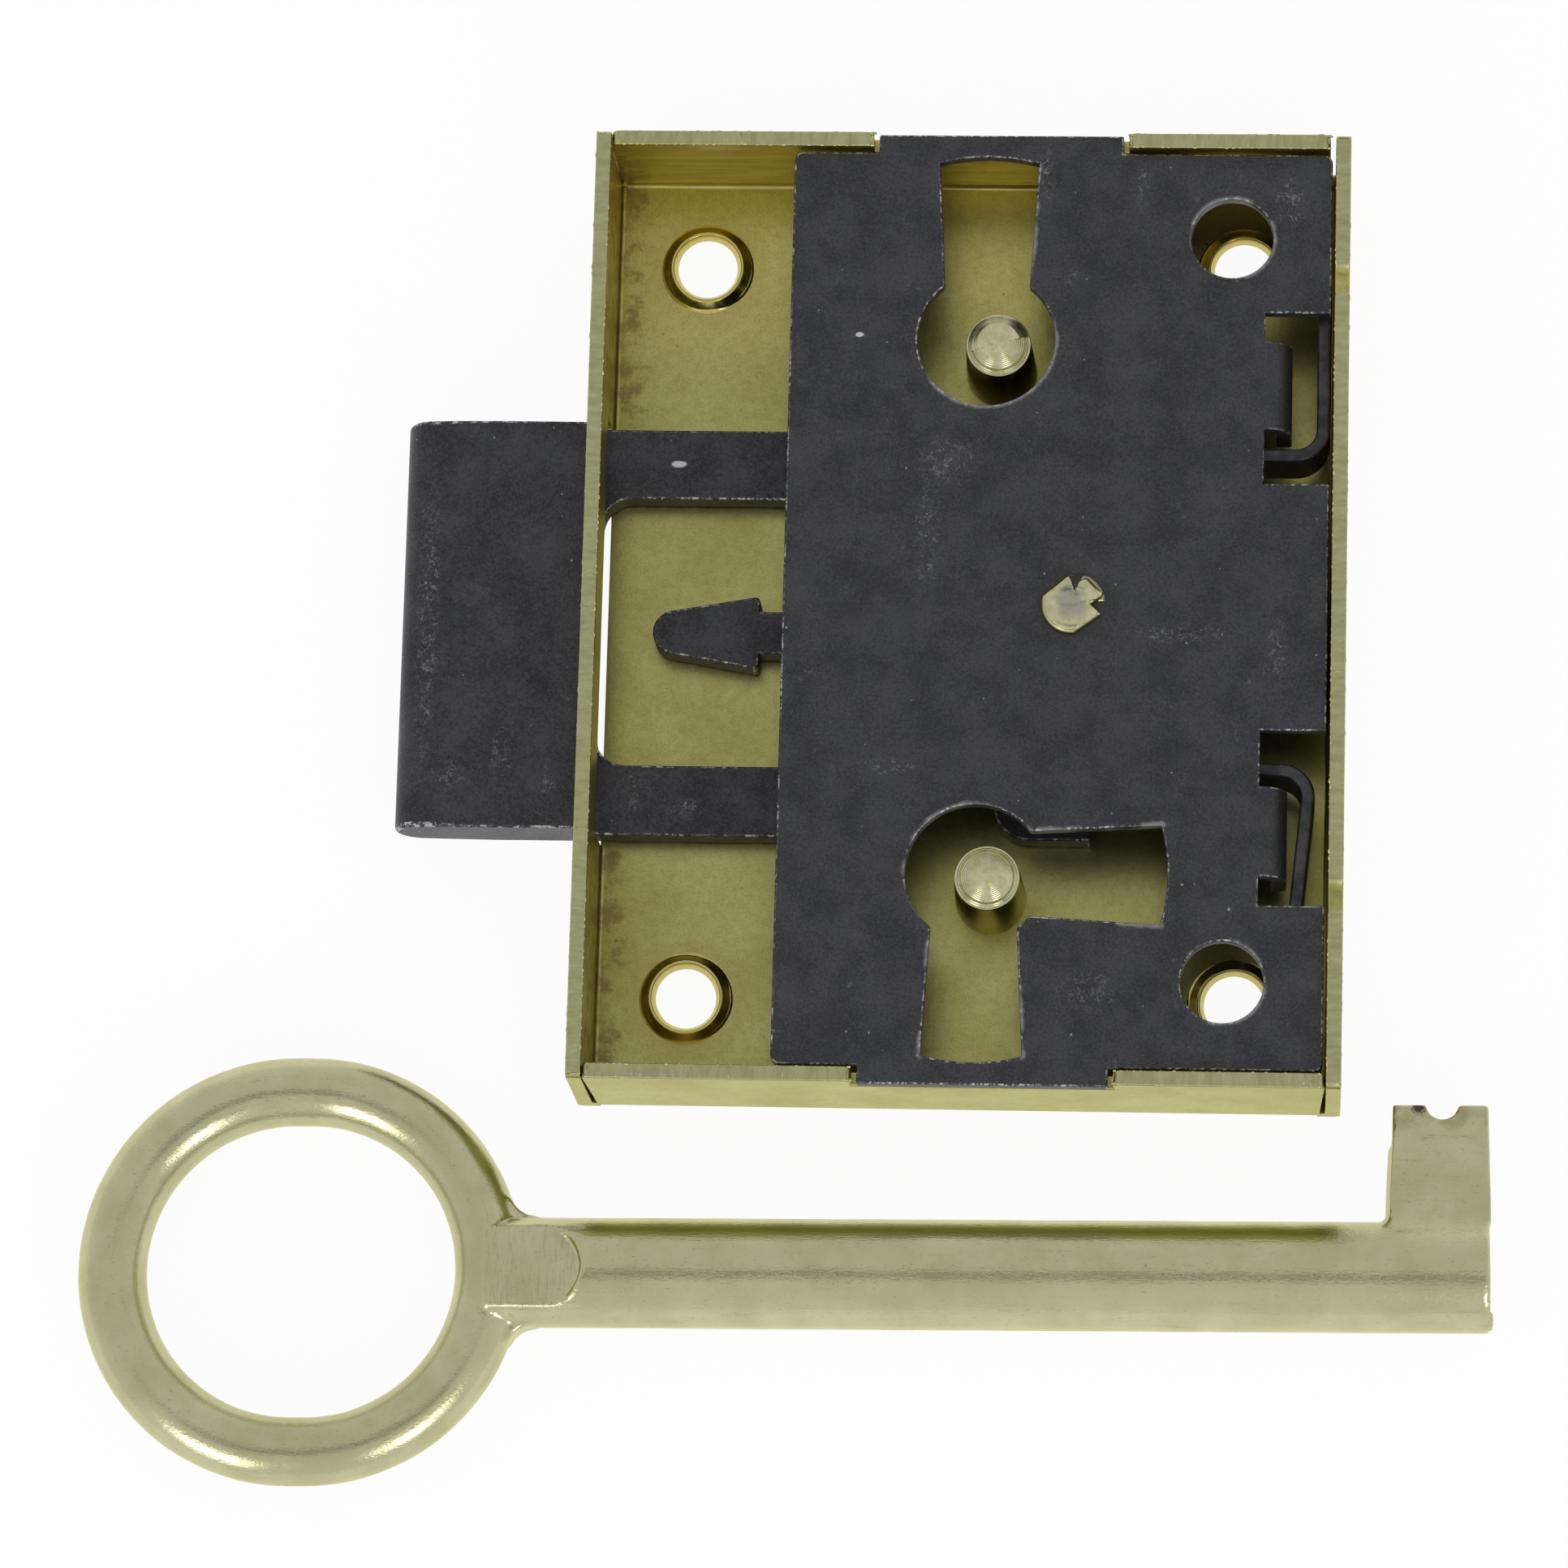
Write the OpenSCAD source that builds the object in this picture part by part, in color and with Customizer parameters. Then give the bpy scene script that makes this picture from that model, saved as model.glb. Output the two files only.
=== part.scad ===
// Cut cupboard lock: a folded brass case, a flat steel bolt, a steel cover with
// two keyholes, and the pipe key that works it.
// The lock lies on its back plate with the cover up. The bolt leaves towards -X
// and is drawn thrown. The origin is the middle of the four screw holes, on the
// outer face of the back plate.

/* [Case] */
// Width of the case, along the bolt's travel
case_w = 50; // [46:0.5:56]
// Height of the case, along the flange that the bolt leaves
case_h = 64; // [60:0.5:74]
// Depth of the case over its back plate and flanges
case_d = 10; // [9.2:0.1:13]
// Thickness of the brass sheet
sheet_t = 1; // [0.8:0.05:1.2]
// Inside radius of the sheet's bends
bend_in = 0.3; // [0.2:0.05:0.6]
// Outside radius of the sheet's bends
bend_edge = 0.5; // [0.3:0.05:0.9]
// Gap between neighbouring flanges at the case's corners
corner_gap = 0.35; // [0.2:0.05:0.6]
// Distance of each screw hole from the case's two nearest sides
screw_inset = 7; // [6:0.1:8]
// Screw hole
screw_hole_d = 3.9; // [3.5:0.1:4.2]
// Foot of the raised dimple round each screw hole
dimple_foot_d = 6.4; // [6:0.1:7]
// Lip of the dimple
dimple_lip_d = 4.9; // [4.7:0.1:5.4]
// Height of the dimple over the plate
dimple_h = 0.9; // [0.5:0.1:1.2]
// Mouth of the countersink in the back face
sink_d = 6.2; // [5.6:0.1:6.8]
// Depth of the countersink
sink_depth = 1.25; // [0.8:0.05:1.4]
// Depth of the two chisel nicks in the far flange's rim
nick_depth = 0.35; // [0.2:0.05:0.6]
// Radius of the chisel nicks
nick_r = 2; // [1:0.1:3]
// Distance of the upper nick from the case's middle
nick_upper = 22; // [20:0.1:24]
// Distance of the lower nick from the case's middle
nick_lower = 19.4; // [17:0.1:22]

/* [Pins and post] */
// Distance from the flange that the bolt leaves to the pins' line
backset = 26.9; // [25:0.1:28]
// Key pin at its top
pin_d = 4.3; // [3.8:0.1:4.6]
// Growth of the pin's diameter down to its foot
pin_taper = 0.4; // [0.1:0.05:0.6]
// Depth of the pin's tip below the cover's face
pin_recess = 1.15; // [0.5:0.05:2]
// Width of the bevel round the pin's tip
pin_bevel = 0.5; // [0.2:0.05:0.8]
// Height of the shallow cone on the pin's tip
pin_cone_h = 0.3; // [0.1:0.05:0.5]
// Riveted tail of the pins and the post
rivet_d = 3; // [2.5:0.1:3.4]
// Clearance of each riveted tail in its hole
rivet_clear = 0.02; // [0.01:0.01:0.05]
// Distance from the pins' line to the post
post_offset = 5.2; // [4.5:0.1:6]
// Post between the plate and the cover
post_d = 5; // [4.6:0.1:5.4]
// Spigot of the post in the cover
post_head_d = 4.2; // [3.8:0.1:4.4]
// Height of the post's head over the cover
post_head_up = 0.5; // [0.3:0.05:0.8]
// Width of each chisel mark in the post's head
stake_w = 0.5; // [0.3:0.05:0.7]
// Depth of the chisel marks from the head's rim
stake_l = 1; // [0.6:0.1:1.4]

/* [Cover] */
// Thickness of the cover
cover_t = 1; // [0.8:0.05:1.2]
// Depth of the cover's face below the case's rim
cover_recess = 0.7; // [0.3:0.05:1]
// Width of the open bay between the bolt's flange face and the cover's edge
bay_w = 13.2; // [11:0.1:15]
// Gap between the cover's edges and the flanges
cover_clear = 0.2; // [0.1:0.05:0.4]
// Radius of the cover's corners
cover_corner_r = 0.6; // [0.2:0.1:1]
// Width of the tab at each end of the cover
tab_w = 16.2; // [14:0.1:18]
// Gap between each tab and the ends of its notch
tab_gap = 0.35; // [0.2:0.05:0.6]
// Width of the rim left beyond the end of a keyhole's slot
slot_margin = 0.3; // [0.2:0.05:0.8]
// Room of the key's barrel in the keyhole, over its diameter
keyhole_clear = 1.9; // [1.6:0.1:2.4]
// Room of the key's bit in the slot, at the keyhole's middle
slot_clear = 2.2; // [1.5:0.1:2.6]
// Growth of the slot's width from the keyhole's middle to its end
slot_flare = 1.4; // [0.8:0.1:1.8]
// Distance of the cover's keyholes and screw holes from the pins and the case's holes
cover_hole_shift = 0.75; // [0:0.05:0.9]
// Screw hole in the cover
cover_hole_d = 5.4; // [5.2:0.1:5.8]
// Length of each notch in the cover's far edge
edge_notch_l = 11.6; // [11:0.1:12.4]
// Depth of each notch
edge_notch_depth = 4.3; // [4:0.1:4.8]
// Distance of each notch's middle from the case's middle
edge_notch_y = 14.1; // [13.6:0.1:14.8]
// Width of the tab bent down in each notch
catch_w = 6; // [5:0.1:6.4]
// Distance of each bent tab's middle from the case's middle
catch_y = 15; // [14.6:0.1:15.4]
// Inside radius of the bent tab's bend
catch_bend_in = 0.8; // [0.3:0.05:0.8]
// Height of the bent tab's end over the bolt
catch_gap = 1.5; // [0.5:0.1:2]

/* [Bolt] */
// Projection of the thrown bolt from the flange
bolt_out = 12.45; // [11.5:0.05:14]
// Travel of the bolt
bolt_throw = 11; // [9:0.1:11.4]
// Thickness of one leaf of the bolt; the head is folded double
leaf_t = 2; // [1.6:0.05:2.2]
// Height of the bolt over the back plate
bolt_float = 0.2; // [0.1:0.05:0.4]
// Distance of the bolt's middle below the case's middle
bolt_drop = 0.6; // [0:0.05:0.7]
// Distance from a pin's axis to the bolt's nearest side
bolt_pin_gap = 3.55; // [3.2:0.05:4.2]
// Room beside the bolt in the flange's slot
bolt_side_clear = 0.25; // [0.1:0.05:0.5]
// Room above the bolt in the flange's slot
bolt_top_clear = 0.25; // [0.1:0.05:0.5]
// Width and depth of the fold's seam on the head's sides
seam = 0.2; // [0.1:0.05:0.3]
// Width of each arm beside the window
arm_w = 4.75; // [4:0.05:6]
// Radius of the window's corners
window_r = 2; // [1:0.1:3]
// Distance of the window's near end inside the flange's outer face
window_in = 0.6; // [0.4:0.05:0.8]
// Width of the bar across the end of the window
crossbar_w = 2.6; // [2:0.1:3.4]
// Distance from the pins' line back to the talon notches
talon_back = 9.9; // [9:0.1:10.5]
// Width of each talon notch
talon_w = 10.1; // [9:0.1:10.6]
// Width of each tooth behind its talon notch
tooth_w = 6.3; // [5.5:0.1:7]
// Radius of the tooth's leading corner
tooth_r = 2.2; // [1:0.1:2.6]
// Wall of the spine on each side of the post's slot
spine_wall = 2.7; // [2:0.1:3.2]
// Room of the key's bit over the spine between the talon notches
spine_clear = 0.2; // [0.2:0.05:0.8]
// Room of the post in the bolt's slot
post_clear = 0.2; // [0.1:0.05:0.4]
// Wall behind the post's slot
tail_wall = 2; // [1.5:0.1:2.4]
// Thickness of the two raised ribs on the tail
rib_t = 1.2; // [1:0.05:1.6]
// Length of the ribs, from the tail's end
rib_l = 14.5; // [12:0.1:16]
// Height of the ribs below the cover
rib_gap = 1.6; // [1:0.1:2]
// Length of the tongue in the window, from its tip to the crossbar
tongue_l = 10.2; // [9:0.1:11.5]
// Length of the tongue's head, from its tip to its shoulders
tongue_head_l = 7.1; // [6:0.1:8]
// Width of the tongue at its shoulders
tongue_head_w = 5; // [4.4:0.1:5.6]
// Width of the tongue's neck
tongue_neck_w = 2.9; // [2.4:0.1:3.4]
// Radius of the tongue's tip
tongue_tip_r = 1.5; // [1:0.1:1.9]

/* [Springs] */
// Thickness of the spring strip
spring_t = 0.9; // [0.7:0.05:1]
// Clearance of the strip over the bolt and under the cover
spring_clear = 0.3; // [0.2:0.05:0.5]
// Radius of the hook, at the strip's middle
hook_r = 1.8; // [1.4:0.1:2.2]
// Gap between the upper spring's back leg and the far flange
leg_wall_gap = 0.15; // [0.1:0.05:0.4]
// Distance of the lower spring's back leg from the upper one's line
lower_leg_shift = 0.75; // [0.4:0.05:0.9]
// Lean of the lower spring's back leg in degrees
lower_lean = 5.5; // [0:0.5:6]
// Length of the back legs
leg_l = 9.5; // [8:0.1:10.5]
// Gap between each front leg and the end of the bent tab
leg_tab_gap = 0.95; // [0.5:0.05:1.2]
// Distance of each front leg's knee inside the cover's notch
knee_in = 0.4; // [0.2:0.1:1]
// Distance of each spring's toe from the tail's end
toe_in = 2; // [1.5:0.1:3]
// Gap between each toe and the bolt's rib
toe_gap = 0.15; // [0.1:0.05:0.3]

/* [Key] */
// Barrel of the key
barrel_d = 7.2; // [6.8:0.1:7.6]
// Room of a pin in the barrel's bore, over the pin's foot
bore_clear = 0.3; // [0.2:0.05:0.5]
// Depth of the bore
bore_l = 12; // [9:0.5:16]
// Length from the barrel's end to the near side of the bow
shank_l = 65; // [55:0.1:75]
// Length of the bow at the middle of its wire
bow_l = 24.7; // [24:0.1:30]
// Width of the bow at the middle of its wire
bow_w = 23.7; // [21:0.1:24]
// Thickness of the bow's round wire
wire_d = 4.5; // [4:0.1:5]
// Length of the flats on the neck
neck_l = 6.2; // [5:0.1:8]
// Thickness over the flats
neck_t = 5.05; // [4.6:0.05:5.6]
// Radius of the flats' rounded end
neck_r = 2.6; // [2.4:0.1:3]
// Radius of the fillets between the bow and the barrel
neck_fillet = 1.8; // [1:0.1:2.4]
// Thickness of those fillets
neck_web_t = 2.4; // [1.6:0.1:3]
// Width of the bit along the barrel
bit_w = 6.8; // [6:0.1:6.9]
// Thickness of the bit
bit_t = 3; // [2.4:0.1:3.4]
// Thickness of the bit at its tip
bit_tip_t = 2.2; // [1.6:0.1:2.4]
// Length of the bit's thinner tip
bit_tip_l = 1.9; // [1:0.1:2.4]
// Distance of the bit from the barrel's end
bit_back = 0.1; // [0.1:0.1:0.6]
// Gap between the bit's tip and the end of a keyhole's slot
bit_slack = 1.3; // [1:0.1:2.5]
// Radius of the round notch in the bit's tip
ward_r = 1.15; // [0.8:0.05:1.4]
// Depth of the round notch
ward_depth = 1; // [0.6:0.05:1.1]
// Distance of the round notch's middle from the barrel's end
ward_x = 3.4; // [3.2:0.1:4]
// Distance of the key's end past the case's far side
key_past = 9.9; // [8:0.1:14]
// Distance from the case's lower side to the key's axis
key_away = 11.1; // [9:0.1:16]
// Turn of the key from the lock's width, in degrees
key_turn = 0.6; // [-2:0.05:2]

/* [Hidden] */
$fn = 64;

// Overlap of joined shapes and overrun of cuts
lap = 0.2;
over = 1;

// Case: reach of its bends, flange faces and screw places
bend_out = bend_in + sheet_t;
near_x = -case_w / 2;
far_x = case_w / 2;
far_in = far_x - sheet_t;
end_in = case_h / 2 - sheet_t;
screw_x = case_w / 2 - screw_inset;
screw_y = case_h / 2 - screw_inset;
end_flange_l = case_w - 2 * (sheet_t + corner_gap);

// Cover levels and edges
cover_top = case_d - cover_recess;
cover_bot = cover_top - cover_t;
cover_x0 = near_x + bay_w;
cover_x1 = far_in - cover_clear;
cover_y1 = end_in - cover_clear;
notch_x0 = cover_x1 - edge_notch_depth;

// Room on each side of the middle: the bolt's spine, then the key's bit twice, once
// from the pin down to the spine and once from the pin out to the end of its slot
post_slot_half = post_d / 2 + bolt_drop + post_clear;
spine_half = post_slot_half + spine_wall;
bit_reach = (cover_y1 - slot_margin - bit_slack - spine_clear - spine_half - bolt_drop) / 2;
slot_reach = bit_reach + bit_slack;

// Pins, post and keyholes
pin_x = near_x + backset;
pin_y = bolt_drop + spine_half + spine_clear + bit_reach;
pin_foot_d = pin_d + pin_taper;
pin_tip = cover_top - pin_recess;
post_x = pin_x + post_offset;
hole_x = pin_x - cover_hole_shift;
keyhole_d = barrel_d + keyhole_clear;
slot_root_w = bit_t + slot_clear;
slot_end_w = slot_root_w + slot_flare;
bore_d = pin_foot_d + bore_clear;

// Bolt levels and outline, with y measured from the bolt's own middle
bolt_z0 = sheet_t + bolt_float;
leaf_top = bolt_z0 + leaf_t;
head_top = bolt_z0 + 2 * leaf_t;
bolt_half = pin_y - bolt_drop - bolt_pin_gap;
nose_x = near_x - bolt_out;
window_x0 = near_x + window_in;
window_half = bolt_half - arm_w;
talon_x0 = pin_x - talon_back;
window_x1 = talon_x0 - crossbar_w;
tooth_x0 = talon_x0 + talon_w;
tooth_x1 = tooth_x0 + tooth_w;
post_slot_x0 = post_x - bolt_throw - post_d / 2 - post_clear;
post_slot_x1 = post_x + post_d / 2 + post_clear;
tail_x = post_slot_x1 + tail_wall;
rib_top = cover_bot - rib_gap;
bolt_slot_half = bolt_half + bolt_side_clear;
bolt_slot_top = head_top + bolt_top_clear;

// Springs
spring_z0 = leaf_top + spring_clear;
spring_z1 = cover_bot - spring_clear;
front_leg_y = catch_y - catch_w / 2 - leg_tab_gap - spring_t / 2;
upper_leg_x = far_in - leg_wall_gap - spring_t / 2;
knee_x = notch_x0 - knee_in;
toe_x = tail_x - toe_in;
toe_reach = spine_half + toe_gap + spring_t / 2;

brass = [0.66, 0.63, 0.36];
blued_steel = [0.2, 0.2, 0.22];
pale_brass = [0.76, 0.73, 0.52];

// Shapes used by more than one piece

// A profile drawn in X and Z, drawn out along Y
module along_y(length) {
    rotate([90, 0, 0])
        linear_extrude(height = length, center = true)
            children();
}

// A profile drawn in Y and Z, drawn out along X
module along_x(length) {
    rotate([90, 0, 90])
        linear_extrude(height = length, center = true)
            children();
}

// Flat rectangle between two corners, with round corners
module round_rect(low, high, r) {
    size = high - low;
    translate(low + [r, 0])
        square([size.x - 2 * r, size.y]);
    translate(low + [0, r])
        square([size.x, size.y - 2 * r]);
    for (x = [low.x + r, high.x - r], y = [low.y + r, high.y - r])
        translate([x, y])
            circle(r);
}

// Quarter of a flat ring, in the first quadrant
module quarter_ring(inner_r, outer_r) {
    intersection() {
        difference() {
            circle(outer_r);
            circle(inner_r);
        }
        square(outer_r + over);
    }
}

// Children at each of the four screw places
module at_screws(shift = 0) {
    for (x = [-screw_x, screw_x], y = [-screw_y, screw_y])
        translate([x - shift, y, 0])
            children();
}

// Case

// Section of the sheet's bend, in the first quadrant
module bend_section() {
    difference() {
        union() {
            square([bend_out, bend_out - bend_edge]);
            square([bend_out - bend_edge, bend_out]);
            translate([bend_out - bend_edge, bend_out - bend_edge])
                circle(bend_edge);
        }
        circle(bend_in);
    }
}

// Section of a flange: its bend out of the plate and its upright wall
module flange_section() {
    translate([0, bend_out])
        mirror([0, 1])
            bend_section();
    translate([bend_in, bend_out - lap / 2])
        square([sheet_t, case_d - bend_out + lap / 2]);
    translate([-lap, 0])
        square([lap * 2, sheet_t]);
}

module case_sheet() {
    translate([-case_w / 2 + bend_out, -case_h / 2 + bend_out, 0])
        cube([case_w - 2 * bend_out, case_h - 2 * bend_out, sheet_t]);
    for (side = [0, 1]) {
        mirror([side, 0, 0])
            translate([case_w / 2 - bend_out, 0, 0])
                along_y(case_h)
                    flange_section();
        mirror([0, side, 0])
            translate([0, case_h / 2 - bend_out, 0])
                along_x(end_flange_l)
                    flange_section();
    }
    at_screws()
        translate([0, 0, sheet_t])
            cylinder(h = dimple_h, d1 = dimple_foot_d, d2 = dimple_lip_d);
}

module screw_hole() {
    translate([0, 0, -over])
        cylinder(h = case_d, d = screw_hole_d);
    cylinder(h = sink_depth, d1 = sink_d, d2 = screw_hole_d);
}

// Slot for the bolt, cut through the near flange and flush with the plate in its bend
module bolt_slot() {
    translate([near_x - over, -bolt_drop - bolt_slot_half, -over])
        cube([sheet_t + over, 2 * bolt_slot_half, bolt_slot_top + over]);
    translate([near_x, -bolt_drop - bolt_slot_half, sheet_t])
        cube([bend_out, 2 * bolt_slot_half, bolt_slot_top - sheet_t]);
}

// Notches in the end flanges that the cover's tabs lie in
module tab_notches() {
    for (side = [0, 1])
        mirror([0, side, 0])
            translate([pin_x - tab_w / 2 - tab_gap, end_in - over, cover_bot])
                cube([tab_w + 2 * tab_gap, sheet_t + 2 * over, case_d]);
}

module rim_nicks() {
    for (y = [nick_upper, -nick_lower])
        translate([far_x - sheet_t / 2, y, case_d + nick_r - nick_depth])
            rotate([0, 90, 0])
                cylinder(h = sheet_t + 2 * over, r = nick_r, center = true);
}

module rivet_hole() {
    translate([0, 0, -over])
        cylinder(h = sheet_t + 2 * over, d = rivet_d + 2 * rivet_clear);
}

module case() {
    color(brass)
        difference() {
            case_sheet();
            at_screws()
                screw_hole();
            bolt_slot();
            tab_notches();
            rim_nicks();
            for (y = [-pin_y, pin_y])
                translate([pin_x, y, 0])
                    rivet_hole();
            translate([post_x, 0, 0])
                rivet_hole();
        }
}

// Cover

// Keyhole slot from the keyhole's middle towards +Y, with a round end
module key_slot() {
    intersection() {
        circle(slot_reach);
        polygon([
            [-slot_root_w / 2, 0],
            [slot_root_w / 2, 0],
            [slot_end_w / 2, slot_reach],
            [slot_end_w / 2, slot_reach + over],
            [-slot_end_w / 2, slot_reach + over],
            [-slot_end_w / 2, slot_reach]
        ]);
    }
}

module keyhole(slot_angles) {
    circle(d = keyhole_d);
    for (angle = slot_angles)
        rotate(angle)
            key_slot();
}

module cover_outline() {
    difference() {
        union() {
            round_rect([cover_x0, -cover_y1], [cover_x1, cover_y1], cover_corner_r);
            translate([pin_x - tab_w / 2, -case_h / 2])
                square([tab_w, case_h]);
        }
        translate([hole_x, pin_y])
            keyhole([0]);
        translate([hole_x, -pin_y])
            keyhole([180, 270]);
        translate([post_x, 0])
            circle(d = post_head_d + 2 * rivet_clear);
        for (y = [-screw_y, screw_y])
            translate([screw_x - cover_hole_shift, y])
                circle(d = cover_hole_d);
        for (y = [-edge_notch_y, edge_notch_y])
            translate([notch_x0, y - edge_notch_l / 2])
                square([edge_notch_depth + over, edge_notch_l]);
    }
}

// Section of a tab bent down from the notch's inner edge
module catch_section() {
    bend = catch_bend_in + cover_t;
    end_z = leaf_top + catch_gap;
    translate([notch_x0, cover_top - bend])
        quarter_ring(catch_bend_in, bend);
    translate([notch_x0 - lap, cover_bot])
        square([lap * 1.5, cover_t]);
    translate([notch_x0 + catch_bend_in, end_z])
        square([cover_t, cover_top - bend - end_z + lap / 2]);
}

module cover_plate() {
    color(blued_steel) {
        translate([0, 0, cover_bot])
            linear_extrude(height = cover_t)
                cover_outline();
        for (y = [-catch_y, catch_y])
            translate([0, y, 0])
                along_y(catch_w)
                    catch_section();
    }
}

// Bolt

// Tongue in the window: a round tip, two shoulders and a neck
module tongue_outline() {
    tip_x = window_x1 - tongue_l;
    shoulder_x = tip_x + tongue_head_l;
    tip_centre = tip_x + tongue_tip_r;
    shoulder_y = tongue_head_w / 2;
    run = shoulder_x - tip_centre;
    lean = atan2(shoulder_y, run) - asin(tongue_tip_r / norm([run, shoulder_y]));
    tangent = tongue_tip_r * [-sin(lean), cos(lean)];
    translate([tip_centre, 0])
        circle(tongue_tip_r);
    polygon([
        [tip_centre + tangent.x, tangent.y],
        [shoulder_x, shoulder_y],
        [shoulder_x, -shoulder_y],
        [tip_centre + tangent.x, -tangent.y]
    ]);
    translate([shoulder_x - lap, -tongue_neck_w / 2])
        square([window_x1 - shoulder_x + 2 * lap, tongue_neck_w]);
}

// One tooth on the +Y side of the spine, with its leading corner rounded
module tooth_outline() {
    round_rect([tooth_x0, 0], [tooth_x1, bolt_half], tooth_r);
    translate([tooth_x0 + tooth_r, 0])
        square([tooth_w - tooth_r, bolt_half]);
    translate([tooth_x0, 0])
        square([tooth_w, bolt_half - tooth_r]);
}

// The lower leaf behind the folded head: arms, window, tongue, spine and teeth
module leaf_outline() {
    head_x1 = nose_x + 2 * leaf_t;
    difference() {
        union() {
            translate([head_x1, -bolt_half])
                square([talon_x0 - head_x1, 2 * bolt_half]);
            translate([talon_x0 - lap, -spine_half])
                square([tail_x - talon_x0 + lap, 2 * spine_half]);
            for (side = [0, 1])
                mirror([0, side])
                    tooth_outline();
        }
        round_rect([window_x0, -window_half], [window_x1, window_half], window_r);
        round_rect([post_slot_x0, -post_slot_half], [post_slot_x1, post_slot_half],
                   post_slot_half - lap);
    }
    tongue_outline();
}

// Section of the folded head, with the round nose of the fold
module head_section() {
    head_x1 = near_x + window_in - lap / 2;
    translate([nose_x + leaf_t, leaf_top])
        circle(leaf_t);
    translate([nose_x + leaf_t, bolt_z0])
        square([head_x1 - nose_x - leaf_t, 2 * leaf_t]);
}

// Seam between the head's two leaves, along both sides
module head_seam() {
    for (y = [-bolt_half, bolt_half])
        translate([nose_x + leaf_t, y - seam, leaf_top - seam / 2])
            cube([bolt_out + sheet_t, 2 * seam, seam]);
}

module tail_ribs() {
    for (side = [0, 1])
        mirror([0, side, 0])
            translate([tail_x - rib_l, spine_half - rib_t, leaf_top - lap])
                cube([rib_l, rib_t, rib_top - leaf_top + lap]);
}

module bolt() {
    color(blued_steel)
        translate([0, -bolt_drop, 0]) {
            translate([0, 0, bolt_z0])
                linear_extrude(height = leaf_t)
                    leaf_outline();
            difference() {
                along_y(2 * bolt_half)
                    head_section();
                head_seam();
            }
            tail_ribs();
        }
}

// Pins and post

// Half section of a key pin: riveted tail, tapered body and turned tip
module key_pin() {
    top_r = pin_d / 2;
    color(pale_brass)
        rotate_extrude()
            polygon([
                [0, 0],
                [rivet_d / 2, 0],
                [rivet_d / 2, sheet_t],
                [pin_foot_d / 2, sheet_t],
                [top_r, pin_tip - pin_cone_h - pin_bevel],
                [top_r - pin_bevel, pin_tip - pin_cone_h],
                [0, pin_tip]
            ]);
}

module upper_key_pin() {
    translate([pin_x, pin_y, 0])
        key_pin();
}

module lower_key_pin() {
    translate([pin_x, -pin_y, 0])
        key_pin();
}

// Post that guides the bolt and carries the cover, staked over with two chisel marks
module centre_post() {
    head_z = cover_top + post_head_up;
    color(pale_brass)
        translate([post_x, 0, 0])
            difference() {
                rotate_extrude()
                    polygon([
                        [0, 0],
                        [rivet_d / 2, 0],
                        [rivet_d / 2, sheet_t],
                        [post_d / 2, sheet_t],
                        [post_d / 2, cover_bot],
                        [post_head_d / 2, cover_bot],
                        [post_head_d / 2, head_z],
                        [0, head_z]
                    ]);
                for (angle = [10, 80])
                    rotate([0, 0, angle])
                        translate([post_head_d / 2 - stake_l, -stake_w / 2, cover_top])
                            cube([stake_l + over, stake_w, post_head_up + over]);
            }
}

// Springs

// Straight run of the strip between two points, with round ends
module strip(from, to) {
    run = to - from;
    translate(from)
        rotate(atan2(run.y, run.x)) {
            translate([0, -spring_t / 2])
                square([norm(run), spring_t]);
            circle(d = spring_t);
            translate([norm(run), 0])
                circle(d = spring_t);
        }
}

// Spring hooked behind a bent tab, drawn on the +Y side; toe_y is where its toe
// lies against the bolt and lean tips its back leg towards the tab
module leaf_spring_outline(toe_y, leg_x, lean) {
    centre = [leg_x - hook_r, front_leg_y + hook_r];
    leg_start = centre + [hook_r, 0];
    strip([toe_x, toe_y], [knee_x, front_leg_y]);
    strip([knee_x, front_leg_y], [centre.x, front_leg_y]);
    translate(centre)
        mirror([0, 1])
            quarter_ring(hook_r - spring_t / 2, hook_r + spring_t / 2);
    strip(leg_start, leg_start + leg_l * [-sin(lean), cos(lean)]);
}

module leaf_spring(toe_y, leg_x, lean) {
    color(blued_steel)
        translate([0, 0, spring_z0])
            linear_extrude(height = spring_z1 - spring_z0)
                leaf_spring_outline(toe_y, leg_x, lean);
}

module upper_leaf_spring() {
    leaf_spring(toe_reach - bolt_drop, upper_leg_x, 0);
}

module lower_leaf_spring() {
    mirror([0, 1, 0])
        leaf_spring(toe_reach + bolt_drop, upper_leg_x - lower_leg_shift, lower_lean);
}

// Key, drawn with its barrel's end at the origin, the shank along -X and the bit to +Y

// The bow's oval ring of round wire, about its own middle
module bow_ring() {
    straight = bow_l - bow_w;
    for (side = [0, 1])
        mirror([side, 0, 0])
            translate([straight / 2, 0, 0])
                rotate([0, 0, -90])
                    rotate_extrude(angle = 180)
                        translate([bow_w / 2, 0])
                            circle(d = wire_d);
    for (y = [-bow_w / 2, bow_w / 2])
        translate([0, y, 0])
            rotate([0, 90, 0])
                cylinder(h = straight + lap / 10, d = wire_d, center = true);
}

// Fillet between the bow and the barrel, on the +Y side
module neck_fillet_outline(ring_x) {
    ring_r = (bow_w + wire_d) / 2;
    barrel_r = barrel_d / 2;
    fillet_y = barrel_r + neck_fillet;
    reach = sqrt(pow(ring_r + neck_fillet, 2) - pow(fillet_y, 2));
    touch = ring_r / (ring_r + neck_fillet);
    difference() {
        polygon([
            [ring_x + reach * touch - wire_d / 2, barrel_r - over],
            [ring_x + reach, barrel_r - over],
            [ring_x + reach, barrel_r],
            [ring_x + reach * touch, fillet_y * touch],
            [ring_x + reach * touch - wire_d / 2, fillet_y * touch - lap]
        ]);
        translate([ring_x + reach, fillet_y])
            circle(neck_fillet);
    }
}

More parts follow.
